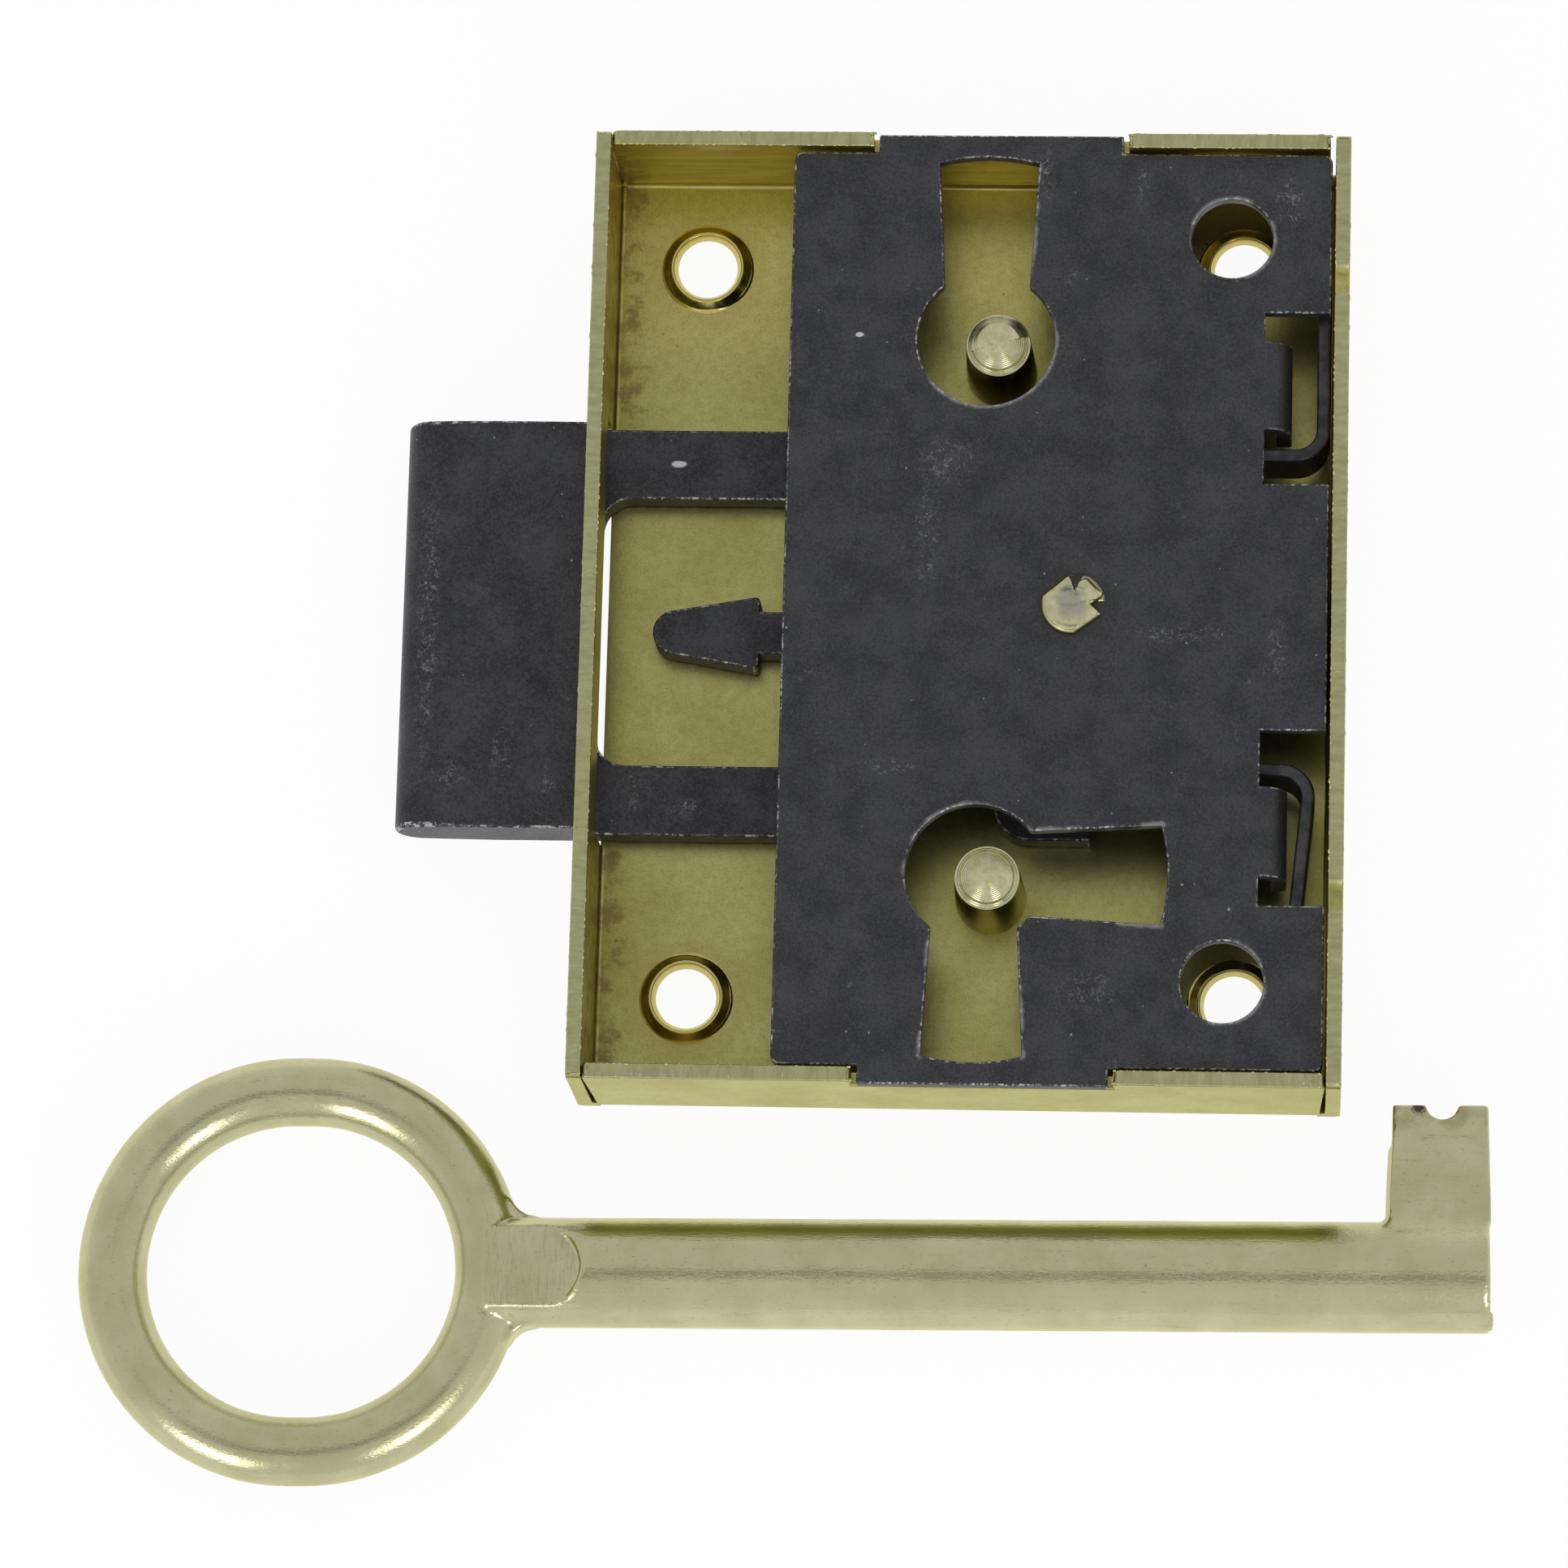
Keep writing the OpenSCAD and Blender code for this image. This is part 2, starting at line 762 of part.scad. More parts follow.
// Plan of the flats milled on both faces of the neck
module neck_flat_outline() {
    flat_x = -shank_l + neck_l - neck_r;
    translate([flat_x, 0])
        circle(neck_r);
    translate([-shank_l - wire_d, -barrel_d])
        square([flat_x + shank_l + wire_d - neck_r, 2 * barrel_d]);
    translate([flat_x - neck_r - lap, -neck_r])
        square([neck_r + lap, 2 * neck_r]);
}

module key_shank() {
    difference() {
        rotate([0, -90, 0])
            cylinder(h = shank_l, d = barrel_d);
        for (side = [0, 1])
            mirror([0, 0, side])
                translate([0, 0, neck_t / 2])
                    linear_extrude(height = barrel_d)
                        neck_flat_outline();
    }
}

module key_bit() {
    difference() {
        translate([-bit_back - bit_w / 2, 0, 0])
            along_x(bit_w)
                polygon([
                    [0, -bit_t / 2],
                    [bit_reach - bit_tip_l, -bit_t / 2],
                    [bit_reach, -bit_tip_t / 2],
                    [bit_reach, bit_tip_t / 2],
                    [bit_reach - bit_tip_l, bit_t / 2],
                    [0, bit_t / 2]
                ]);
        translate([-ward_x, bit_reach + ward_r - ward_depth, 0])
            cylinder(h = bit_t + 2 * over, r = ward_r, center = true);
    }
}

module key_body() {
    bow_x = -shank_l - bow_l / 2;
    ring_x = bow_x + (bow_l - bow_w) / 2;
    difference() {
        union() {
            key_shank();
            key_bit();
            translate([bow_x, 0, 0])
                bow_ring();
            for (side = [0, 1])
                mirror([0, side, 0])
                    linear_extrude(height = neck_web_t, center = true)
                        neck_fillet_outline(ring_x);
        }
        translate([over, 0, 0])
            rotate([0, -90, 0])
                cylinder(h = bore_l + over, d = bore_d);
    }
}

module key() {
    color(pale_brass)
        translate([far_x + key_past, -case_h / 2 - key_away, barrel_d / 2])
            rotate([0, 0, key_turn])
                key_body();
}

case();
cover_plate();
bolt();
upper_key_pin();
lower_key_pin();
centre_post();
upper_leaf_spring();
lower_leaf_spring();
key();
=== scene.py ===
import math

import bmesh
import bpy
import numpy as np
from mathutils import Matrix, Vector, noise


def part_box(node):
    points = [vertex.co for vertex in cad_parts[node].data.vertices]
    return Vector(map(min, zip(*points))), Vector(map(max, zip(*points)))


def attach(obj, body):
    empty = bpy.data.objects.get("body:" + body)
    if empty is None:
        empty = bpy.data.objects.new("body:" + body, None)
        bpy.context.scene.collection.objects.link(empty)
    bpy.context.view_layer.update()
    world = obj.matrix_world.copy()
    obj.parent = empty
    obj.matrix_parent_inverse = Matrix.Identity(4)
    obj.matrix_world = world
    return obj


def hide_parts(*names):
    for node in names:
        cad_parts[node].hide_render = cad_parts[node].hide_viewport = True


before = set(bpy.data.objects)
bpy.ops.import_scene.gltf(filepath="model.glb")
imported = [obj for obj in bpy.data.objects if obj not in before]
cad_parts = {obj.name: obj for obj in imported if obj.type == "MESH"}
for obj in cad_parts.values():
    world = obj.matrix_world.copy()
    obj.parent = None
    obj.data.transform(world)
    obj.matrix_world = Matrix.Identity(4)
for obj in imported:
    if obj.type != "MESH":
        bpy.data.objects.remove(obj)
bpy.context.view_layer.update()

MM = 0.001
UP = Vector((0, 0, 1))

# Where the pieces are, in metres, as the frame has them
CASE_LOW, CASE_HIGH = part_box("case")
COVER_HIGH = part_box("cover_plate")[1]
BOLT_LOW, BOLT_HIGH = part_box("bolt")
POST_LOW, POST_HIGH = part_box("centre_post")

# Sheet metal: how far its edges are broken
SHEET_T = 1.0 * MM
CASE_EDGE = 0.13 * MM
COVER_EDGE = 0.12 * MM
BOLT_EDGE = 0.14 * MM
SPRING_EDGE = 0.24 * MM
LEAST_STEP = 0.04 * MM
EDGE_ANGLE = 28.0
FLAT_ANGLE = 0.4
SHARP_ANGLE = 40.0

# Folded case: its end flanges stop short of the side flanges, and its corners are rounded off
FLANGE_END = 23.65 * MM
FLANGE_CLOSE = 23.97 * MM
FLANGE_CORNER = 0.5 * MM
FLANGE_IN = 1.4 * MM
FLANGE_Y = 30.9 * MM
ACROSS_SHEET = (0.8 * MM, 1.2 * MM)
BEND_TOP = 1.35 * MM
BEND_END = 23.4 * MM
PLATE_TOP = 1.05 * MM
SCREW_AT = (18.0 * MM, 25.0 * MM)
DIMPLE_R = 2.6 * MM
DIMPLE_TOP = 1.9 * MM
DIMPLE_LIP = 0.07 * MM
HOLE_R = 2.0 * MM
FLARE_R = 2.28 * MM

# Bolt: the fine groove along the sides of its folded head, its nose and its tongue
GROOVE_Z = (2.9 * MM, 3.5 * MM)
GROOVE_END = -23.9 * MM
GROOVE_DEPTH = 0.3 * MM
NOSE_END = -35.2 * MM
NOSE_EDGE = 0.32 * MM
TONGUE_HALF = (1.3 * MM, 2.8 * MM)
TONGUE_X = (-16 * MM, -12 * MM)
TONGUE_ROUND = 0.42 * MM

# Turned pins: the groove is (place as a share of the dome, half width, depth)
PIN_TAPER = 0.2 * MM
PIN_SHOULDER = 0.13 * MM
PIN_DOME = 0.42 * MM
RIVET_R = 1.5 * MM
RING_PITCH = 0.12 * MM
RING_DEPTH = 0.0105 * MM
RING_SAMPLES = 150
PIN_GROOVE = (0.86, 0.025, 0.05 * MM)
SAW_ANGLE = 15.0
SAW_STEP = 0.03 * MM
SAW_FLAT = 0.70
SAW_WIDTH = 0.035 * MM
SAW_START = 0.03 * MM
DOME_SLACK = 0.08 * MM
PIN_WELD = 0.006 * MM

# Staked post: corners of its head's outline and rings of its top, as (radius, drop from the tip), in mm
POST_AT = Vector(((POST_LOW.x + POST_HIGH.x) / 2, (POST_LOW.y + POST_HIGH.y) / 2, 0))
POST_R = 2.1 * MM
POST_RIM_Z = POST_HIGH.z - 0.2 * MM
POST_CUT = (
    (0.40, -1.87), (1.97, -0.72), (1.33, -0.07), (1.96, 0.38), (2.05, 0.67), (1.02, 1.71),
    (0.60, 1.57), (0.21, 1.00), (-0.21, 2.00), (-1.78, 0.66),
)
POST_ROUND = [Vector((2.03 * math.cos(a / 10), 2.03 * math.sin(a / 10))) for a in range(29, 49)]
POST_OUTLINE = [Vector(c) * MM for c in POST_CUT] + [c * MM for c in POST_ROUND]
POST_RINGS = (
    (2.3, 0.48), (2.3, 0.26), (2.3, 0.14), (1.86, 0.04), (1.79, 0.09), (1.70, 0.03),
    (1.25, 0.0), (1.12, 0.02), (0.95, 0.09), (0.60, 0.11), (0, 0.10),
)
POST_SMEAR = 0.16 * MM
SMEAR_T = 0.004 * MM
HEAD_FROM_Z = COVER_HIGH.z + 0.01 * MM
POST_SHARP = 35.0
TOOTH_SPAN = (8.0, 71.0)
TOOTH_R = 0.86 * MM
TOOTH_LIFT = 0.13 * MM

# Cast key: places on it are in mm, in its own axes or, for the panel, bit and end, in the frame
KEY_VOXEL = 0.18 * MM
KEY_SMOOTHING = 7
KEY_WAVE = 0.018 * MM
KEY_WAVE_L = 2.6 * MM
KEY_TIP = Vector((34.9, -43.1, 3.6))
KEY_TURN = 0.6
END_BUMP = (-0.58, -2.95, 0.8)
END_BUMP_R = 0.64 * MM
END_BACK = 0.2
END_CLEAR = (0.5, 0.75)
END_X = (34.0, 34.8)
END_Y = (-39.4, -40.0)
BOW_AT = (-77.35, 0.0, 0.0)
STAIN_AT = (-4.75, 10.95, 1.1)
PANEL_X = (28.85, 34.3)
PANEL_Y = (-39.4, -33.85)
PANEL_EDGE = 0.5
PANEL_DEPTH = 0.045
PANEL_WAVER = 0.35
PANEL_WAVER_L = 0.9 * MM
BIT_TAPER = (0.2, 0.27, 0.1)
BIT_LEFT = (27.2, 27.6)
BIT_RIGHT = 34.7
BIT_W = 6.8
BIT_ROOT = (-40.2, -39.2)
BIT_RISE = (-39.6, -32.0)
BIT_SPAN = (-6.9, -0.1)
PARTING = ((2.8, -0.7), (8.4, -0.7), (8.4, 0.7), (2.8, 0.7))
PARTING_SPAN = (BIT_SPAN[0] - 0.2, BIT_SPAN[0] + 0.5)
BIT_FOOT = ((2.6, 2.49), (3.0, 2.14), (3.4, 1.86), (3.9, 1.64), (4.6, 1.5), (4.6, 0.9), (2.6, 0.9))

# Cut rim of the case: end flanges stop at the corner gaps and at the cover's tabs
CORNER_GAP = 1.35 * MM
TAB_NOTCH = (-6.55 * MM, 10.35 * MM)
NICKS = (22.0 * MM, -19.4 * MM)
NICK_HALF = 1.25 * MM
RUN_END = 0.3 * MM
RUN_GAP = 0.1 * MM
BURR_PITCH = 0.42 * MM
BURR_R = 0.095 * MM
BURR_DROP = 0.085 * MM
SCALLOP_PITCH = 0.48 * MM
SCALLOP_R = 0.125 * MM
SCALLOP_IN = 0.10 * MM
SCALLOP_DROP = 0.12 * MM
SHEAR_PITCH = 0.47 * MM
SHEAR_FORM = (0.36 * MM, 0.05 * MM, 0.042 * MM)
SHEAR_DROP = 0.035 * MM

# Lamps and the photo's camera
LAMP_SIZE = 0.21
LAMP_POWER = 0.55
LAMP_AIM = Vector((0, -0.008, 0))
CAMERA_AT = (0.022515, -0.124304, 0.496679)
CAMERA_TURN = (13.01886, 3.62266, 1.54638)
CAMERA_LENS = 176.826
CAMERA_SENSOR = 36.0


# Small helpers for meshes

def piece_from(bm, name):
    """A new object from a finished mesh."""
    mesh = bpy.data.meshes.new(name)
    bm.to_mesh(mesh)
    bm.free()
    obj = bpy.data.objects.new(name, mesh)
    bpy.context.scene.collection.objects.link(obj)
    return obj


def apply_modifiers(obj):
    """Turns an object and its modifiers into a plain mesh."""
    graph = bpy.context.evaluated_depsgraph_get()
    made = bpy.data.meshes.new_from_object(
        obj.evaluated_get(graph), preserve_all_data_layers=True, depsgraph=graph
    )
    obj.modifiers.clear()
    obj.data = made
    return obj


def solid_of(node):
    """A node's solid as one welded mesh, its flat faces joined and its least steps closed."""
    bm = bmesh.new()
    bm.from_mesh(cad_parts[node].data)
    bmesh.ops.remove_doubles(bm, verts=bm.verts, dist=LEAST_STEP)
    bmesh.ops.dissolve_limit(
        bm, angle_limit=math.radians(FLAT_ANGLE), verts=bm.verts, edges=bm.edges
    )
    for face in bm.faces:
        face.smooth = True
        face.material_index = 0
    return bm


def sharp_edges(bm):
    """The outer edges where two faces meet at an angle."""
    return [e for e in bm.edges if e.is_convex and e.calc_face_angle() > math.radians(EDGE_ANGLE)]


def break_edges(bm, width, segments=3, chosen=lambda edge: True):
    """Rounds the sharp edges that are chosen. The strips that this makes take material slot 1."""
    edges = [e for e in sharp_edges(bm) if chosen(e)]
    bmesh.ops.bevel(
        bm, geom=edges, offset=width, offset_type="OFFSET", segments=segments, profile=0.5,
        affect="EDGES", clamp_overlap=False, material=1
    )


def mark_wear(bm):
    """Writes the attribute wear: 1 on the broken edges, but not by the post, and 0 on the rest."""
    wear = bm.loops.layers.float.new("wear")
    for face in bm.faces:
        under_head = (face.calc_center_median().xy - POST_AT.xy).length < POST_R + 0.5 * MM
        for loop in face.loops:
            loop[wear] = float(face.material_index == 1 and not under_head)


def level_normals(obj):
    """Keeps the flat faces flat to the light, the broken edges round and the edges left whole sharp."""
    for polygon in obj.data.polygons:
        polygon.material_index = 0
        polygon.use_smooth = True
    obj.data.set_sharp_from_angle(angle=math.radians(SHARP_ANGLE))
    weighted = obj.modifiers.new("level faces", "WEIGHTED_NORMAL")
    weighted.weight = 80
    weighted.keep_sharp = True
    return apply_modifiers(obj)


def lathe(profile, centre, steps=80, shape=None):
    """A turned solid: (radius, height) points from the foot's middle to the tip's, spun about centre.

    A shape, if given, changes a point by its direction, radius and height.
    """
    bm = bmesh.new()
    rings = []
    for radius, height in profile:
        if radius == 0:
            rings.append([bm.verts.new((centre.x, centre.y, height))])
            continue
        ring = []
        for step in range(steps):
            turn = 2 * math.pi * step / steps
            way = Vector((math.cos(turn), math.sin(turn), 0))
            place = shape(way, radius, height) if shape else way * radius + UP * height
            ring.append(bm.verts.new(centre + place))
        rings.append(ring)
    for low, high in zip(rings, rings[1:]):
        for step in range(steps):
            corners = []
            for ring, at in ((low, step), (low, step + 1), (high, step + 1), (high, step)):
                vert = ring[at % len(ring)]
                if vert not in corners:
                    corners.append(vert)
            bm.faces.new(corners)
    bmesh.ops.recalc_face_normals(bm, faces=bm.faces)
    for face in bm.faces:
        face.smooth = True
    return bm


def key_place(x, y, z):
    """A place in the frame from the key's own axes, in mm: along its barrel, out to its bit and up."""
    turn = math.radians(KEY_TURN)
    along = Vector((math.cos(turn), math.sin(turn), 0))
    out = Vector((-math.sin(turn), math.cos(turn), 0))
    return (KEY_TIP + along * x + out * y + UP * z) * MM


# Small helpers for node trees

def add(tree, kind, sockets=None, **settings):
    """A node with its settings and its inputs, each a value or a socket to link from."""
    node = tree.nodes.new(kind)
    for name, value in settings.items():
        setattr(node, name, value)
    for name, value in (sockets or {}).items():
        if isinstance(value, bpy.types.NodeSocket):
            tree.links.new(value, node.inputs[name])
        else:
            node.inputs[name].default_value = value
    return node


def calc(tree, operation, first, second=0.0, clamp=False):
    node = add(tree, "ShaderNodeMath", {0: first, 1: second}, operation=operation, use_clamp=clamp)
    return node.outputs[0]


def times(tree, first, second):
    return calc(tree, "MULTIPLY", first, second)


def plus(tree, first, second):
    return calc(tree, "ADD", first, second)


def minus(tree, first, second):
    return calc(tree, "SUBTRACT", first, second)


def most(tree, first, second):
    return calc(tree, "MAXIMUM", first, second)


def apart(tree, first, second):
    return calc(tree, "ABSOLUTE", minus(tree, first, second))


def between(tree, value, low, high, to_low=0.0, to_high=1.0):
    """Smooth step of a value from low to high, either way round."""
    sockets = {"Value": value, "From Min": low, "From Max": high, "To Min": to_low, "To Max": to_high}
    return add(tree, "ShaderNodeMapRange", sockets, interpolation_type="SMOOTHSTEP").outputs["Result"]


def within(tree, value, rise, fall):
    """1 in a band of values and 0 outside it."""
    return times(tree, between(tree, value, *rise), between(tree, value, *fall))


def blend(tree, share, first, second):
    """Colour between two colours."""
    return add(tree, "ShaderNodeMix", {0: share, 6: first, 7: second}, data_type="RGBA").outputs[2]


def tinted(tree, colour, tone, mask, share):
    """A colour with a share of another tone laid over it where the mask is 1."""
    return blend(tree, times(tree, mask, share), colour, tone)


def axes_of(tree, vector):
    return add(tree, "ShaderNodeSeparateXYZ", {"Vector": vector}).outputs


def length(tree, vector):
    return add(tree, "ShaderNodeVectorMath", {0: vector}, operation="LENGTH").outputs["Value"]


def cloud(tree, place, scale, detail=3.0, roughness=0.55, distortion=0.0):
    """Noise from 0 to 1, scale in features per millimetre."""
    sockets = {
        "Vector": place, "Scale": scale, "Detail": detail,
        "Roughness": roughness, "Distortion": distortion,
    }
    return add(tree, "ShaderNodeTexNoise", sockets).outputs["Fac"]


def turned(tree, place, angle, stretch, shift=(0.0, 0.0, 0.0)):
    """Coordinates turned about Z and stretched."""
    sockets = {
        "Vector": place, "Location": shift,
        "Rotation": (0.0, 0.0, math.radians(angle)), "Scale": stretch,
    }
    return add(tree, "ShaderNodeMapping", sockets).outputs["Vector"]


def around(tree, place, x, y):
    """Coordinates across a sheet, from a point on it."""
    return turned(tree, place, 0.0, (1.0, 1.0, 0.0), (-x, -y, 0.0))


def squiggles(tree, place, scale, width, shift):
    """Thin wandering lines: scale in turns per millimetre."""
    moved = turned(tree, place, 0.0, (1.0, 1.0, 1.0), shift)
    field = cloud(tree, moved, scale, 3.0, 0.6, 1.4)
    off = apart(tree, field, 0.5)
    return between(tree, off, width, width * 0.3)


def specks(tree, place, per_mm, size, share):
    """Small specks of uneven size, a share of the cells having one."""
    rough = add(tree, "ShaderNodeTexNoise", {"Vector": place, "Scale": 5.0, "Detail": 2.0}).outputs["Color"]
    stray = add(tree, "ShaderNodeVectorMath", {0: rough, 1: (0.22, 0.22, 0.22)}, operation="MULTIPLY")
    moved = add(tree, "ShaderNodeVectorMath", {0: place, 1: stray.outputs[0]}).outputs[0]
    cells = add(tree, "ShaderNodeTexVoronoi", {"Vector": moved, "Scale": per_mm, "Randomness": 1.0})
    picks = add(tree, "ShaderNodeSeparateColor", {"Color": cells.outputs["Color"]}).outputs
    extent = times(tree, picks["Green"], size)
    mask = between(tree, cells.outputs["Distance"], extent, times(tree, extent, 0.5))
    return times(tree, mask, calc(tree, "LESS_THAN", picks["Red"], share))


def new_finish(name):
    """An empty metal finish and its object coordinates in millimetres."""
    material = bpy.data.materials.new(name)
    material.use_nodes = True
    tree = material.node_tree
    shader = tree.nodes["Principled BSDF"]
    spot = add(tree, "ShaderNodeTexCoord").outputs["Object"]
    place = add(tree, "ShaderNodeMapping", {"Vector": spot, "Scale": (1000.0, 1000.0, 1000.0)})
    return material, tree, shader, place.outputs["Vector"]


def wire(tree, shader, **sockets):
    """Links or sets the shader's own sockets, named with underscores for spaces."""
    for name, value in sockets.items():
        target = shader.inputs[name.replace("_", " ")]
        if isinstance(value, bpy.types.NodeSocket):
            tree.links.new(value, target)
        else:
            target.default_value = value


def bare_metal(tree, shader, colour, roughness, tint, normal):
    wire(tree, shader, Base_Color=colour, Metallic=1.0, Roughness=roughness,
         Specular_Tint=(1.0, 0.98, tint, 1), Normal=normal)


def bump(tree, height, strength, distance):
    sockets = {"Height": height, "Strength": strength, "Distance": distance}
    return add(tree, "ShaderNodeBump", sockets).outputs["Normal"]


# Finishes

def rolled_brass():
    """Folded sheet: satin grain, golden walls and upper bay as painted reflection, brown patches, painted
    shade at the walls' foot and round the dimples, dimples painted brighter as sheen, and a dull cut rim.
    """
    material, tree, shader, place = new_finish("rolled_brass")
    x, y, z = axes_of(tree, place)
    wide = calc(tree, "ABSOLUTE", x)
    tall = calc(tree, "ABSOLUTE", y)
    tarnish = cloud(tree, place, 0.16, 5.0, 0.6)
    sand = cloud(tree, place, 1.7, 4.0, 0.7)
    grain = cloud(tree, place, 7.0, 2.0, 0.8)
    colour = blend(tree, between(tree, tarnish, 0.3, 0.7), (0.40, 0.375, 0.128, 1), (0.455, 0.44, 0.175, 1))
    # Painted reflection: the sheet turns golden towards the top, as if the plate mirrored the golden top
    # wall.
    painted_top_reflection = between(tree, y, 14.0, 27.0, 0.0, 0.55)
    colour = blend(tree, painted_top_reflection, colour, (0.64, 0.545, 0.16, 1))
    rough_tone = plus(tree, times(tree, grain, 0.6), times(tree, sand, 0.4))
    sandy = blend(tree, 0.42, colour, (0.17, 0.145, 0.03, 1))
    colour = blend(tree, between(tree, rough_tone, 0.32, 0.62), sandy, colour)

    inside = times(tree, between(tree, wide, 24.3, 24.1), between(tree, tall, 31.3, 31.1))
    inside = times(tree, inside, within(tree, z, (0.6, 0.9), (9.7, 9.2)))
    # Inner walls: streaks in the brass, over a painted reflection of the plate that makes them golden, with
    # the end walls painted lighter than the side walls.
    streaks = cloud(tree, turned(tree, place, 0.0, (0.16, 0.16, 1.3)), 1.0, 4.0, 0.65)
    streaked = between(tree, streaks, 0.35, 0.7)
    side_wall_painted_reflection = blend(tree, streaked, (0.42, 0.36, 0.11, 1), (0.56, 0.50, 0.17, 1))
    end_wall_painted_reflection = blend(tree, streaked, (0.50, 0.41, 0.135, 1), (0.74, 0.63, 0.235, 1))
    side_wall = times(tree, between(tree, wide, 23.6, 23.95), inside)
    end_wall = times(tree, between(tree, tall, 30.6, 30.95), inside)
    colour = tinted(tree, colour, side_wall_painted_reflection, side_wall, 0.85)
    colour = tinted(tree, colour, end_wall_painted_reflection, end_wall, 0.95)
    # Brown patches inside the case, more of them in the bays by the left wall and by the top wall.
    in_bay = between(tree, calc(tree, "ABSOLUTE", plus(tree, y, 0.6)), 13.7, 15.0)
    near_left = times(tree, between(tree, x, -19.5, -23.6), in_bay)
    near_top = between(tree, y, 27.0, 31.0, 0.0, 0.55)
    blotch = cloud(tree, place, 0.75, 5.0, 0.7)
    wall_share = times(tree, most(tree, near_left, near_top), 0.36)
    dark_patches = between(tree, plus(tree, blotch, wall_share), 0.78, 0.98)
    dark_patches = times(tree, dark_patches, inside)
    colour = tinted(tree, colour, (0.20, 0.135, 0.06, 1), dark_patches, 0.6)
    # Painted shade along the foot of the inner walls, in the crease where they meet the plate.
    foot = times(tree, most(tree, side_wall, end_wall), between(tree, z, 1.5, 1.1))
    colour = tinted(tree, colour, (0.12, 0.08, 0.02, 1), foot, 0.15)
    pits = times(tree, specks(tree, place, 1.1, 0.14, 0.22), inside)
    colour = tinted(tree, colour, (0.07, 0.05, 0.02, 1), pits, 0.6)

    off_x = minus(tree, wide, SCREW_AT[0] / MM)
    off_y = minus(tree, tall, SCREW_AT[1] / MM)
    off = add(tree, "ShaderNodeCombineXYZ", {"X": off_x, "Y": off_y}).outputs[0]
    from_screw = length(tree, off)
    dimple = times(tree, between(tree, from_screw, 3.2, 3.0), inside)
    # Painted shade in a ring round each dimple, and painted sheen that makes the dimple itself a brighter
    # gold.
    painted_dimple_shade = times(tree, between(tree, from_screw, 4.6, 3.4), inside)
    colour = tinted(tree, colour, (0.30, 0.21, 0.06, 1), painted_dimple_shade, 0.16)
    colour = tinted(tree, colour, (0.66, 0.55, 0.20, 1), dimple, 0.6)

    rim = between(tree, z, 9.80, 9.92)
    across_sides = cloud(tree, turned(tree, place, 0.0, (0.5, 1.9, 1.0)), 1.0, 4.0, 0.7)
    across_ends = cloud(tree, turned(tree, place, 0.0, (1.9, 0.5, 1.0)), 1.0, 4.0, 0.7)
    on_side = calc(tree, "GREATER_THAN", wide, 23.95)
    shear = add(tree, "ShaderNodeMix", {0: on_side, 2: across_ends, 3: across_sides}).outputs[0]
    sheared = between(tree, shear, 0.25, 0.75)
    rim_colour = blend(tree, sheared, (0.345, 0.34, 0.165, 1), (0.475, 0.48, 0.27, 1))
    colour = blend(tree, rim, colour, rim_colour)

    roughness = between(tree, tarnish, 0.2, 0.8, 0.35, 0.27)
    roughness = plus(tree, roughness, times(tree, dark_patches, 0.12))
    roughness = plus(tree, roughness, times(tree, rim, 0.06))
    roughness = minus(tree, roughness, times(tree, dimple, 0.12))
    rim_height = times(tree, times(tree, shear, rim), 0.35)
    relief = minus(tree, 0.16, times(tree, dimple, 0.12))
    skin = times(tree, plus(tree, grain, sand), relief)
    normal = bump(tree, plus(tree, skin, rim_height), 0.6, 0.05 * MM)
    bare_metal(tree, shader, colour, roughness, 0.70, normal)
    return material


def bright_burr():
    """Freshly torn brass along the cut rim: bright and golden."""
    material, tree, shader, place = new_finish("bright_burr")
    torn = cloud(tree, place, 1.4, 3.0, 0.6)
    colour = blend(tree, between(tree, torn, 0.35, 0.65), (0.46, 0.42, 0.17, 1), (0.78, 0.66, 0.28, 1))
    roughness = between(tree, torn, 0.3, 0.7, 0.34, 0.16)
    normal = bump(tree, cloud(tree, place, 6.0, 2.0), 0.4, 0.03 * MM)
    bare_metal(tree, shader, colour, roughness, 0.75, normal)
    return material


def rubbed_rims(tree, place, rings, slots):
    """1 by the rims of round holes and of keyhole slots, down to 0 at half a millimetre."""
    rubbed = None
    for (at_x, at_y), radius in rings:
        local = around(tree, place, at_x, at_y)
        reach = length(tree, local)
        off = apart(tree, reach, radius)
        near = between(tree, off, 0.55, 0.0)
        rubbed = near if rubbed is None else most(tree, rubbed, near)
    for (at_x, at_y), angle in slots:
        local = around(tree, place, at_x, at_y)
        local = turned(tree, local, -angle, (1.0, 1.0, 0.0))
        across, along = axes_of(tree, local)[:2]
        half = plus(tree, times(tree, along, 0.06), 2.6)
        off = calc(tree, "ABSOLUTE", minus(tree, calc(tree, "ABSOLUTE", across), half))
        near = times(tree, between(tree, off, 0.55, 0.0), within(tree, along, (3.4, 4.2), (12.8, 12.0)))
        rubbed = most(tree, rubbed, near)
    return rubbed


def oval(tree, place, spot):
    """Distance from the middle of an oval spot on a sheet, 1 at its edge: (middle, half sizes, angle)."""
    (at_x, at_y), (half_x, half_y), angle = spot
    local = around(tree, place, at_x, at_y)
    local = turned(tree, local, -angle, (1.0 / half_x, 1.0 / half_y, 0.0))
    return length(tree, local)


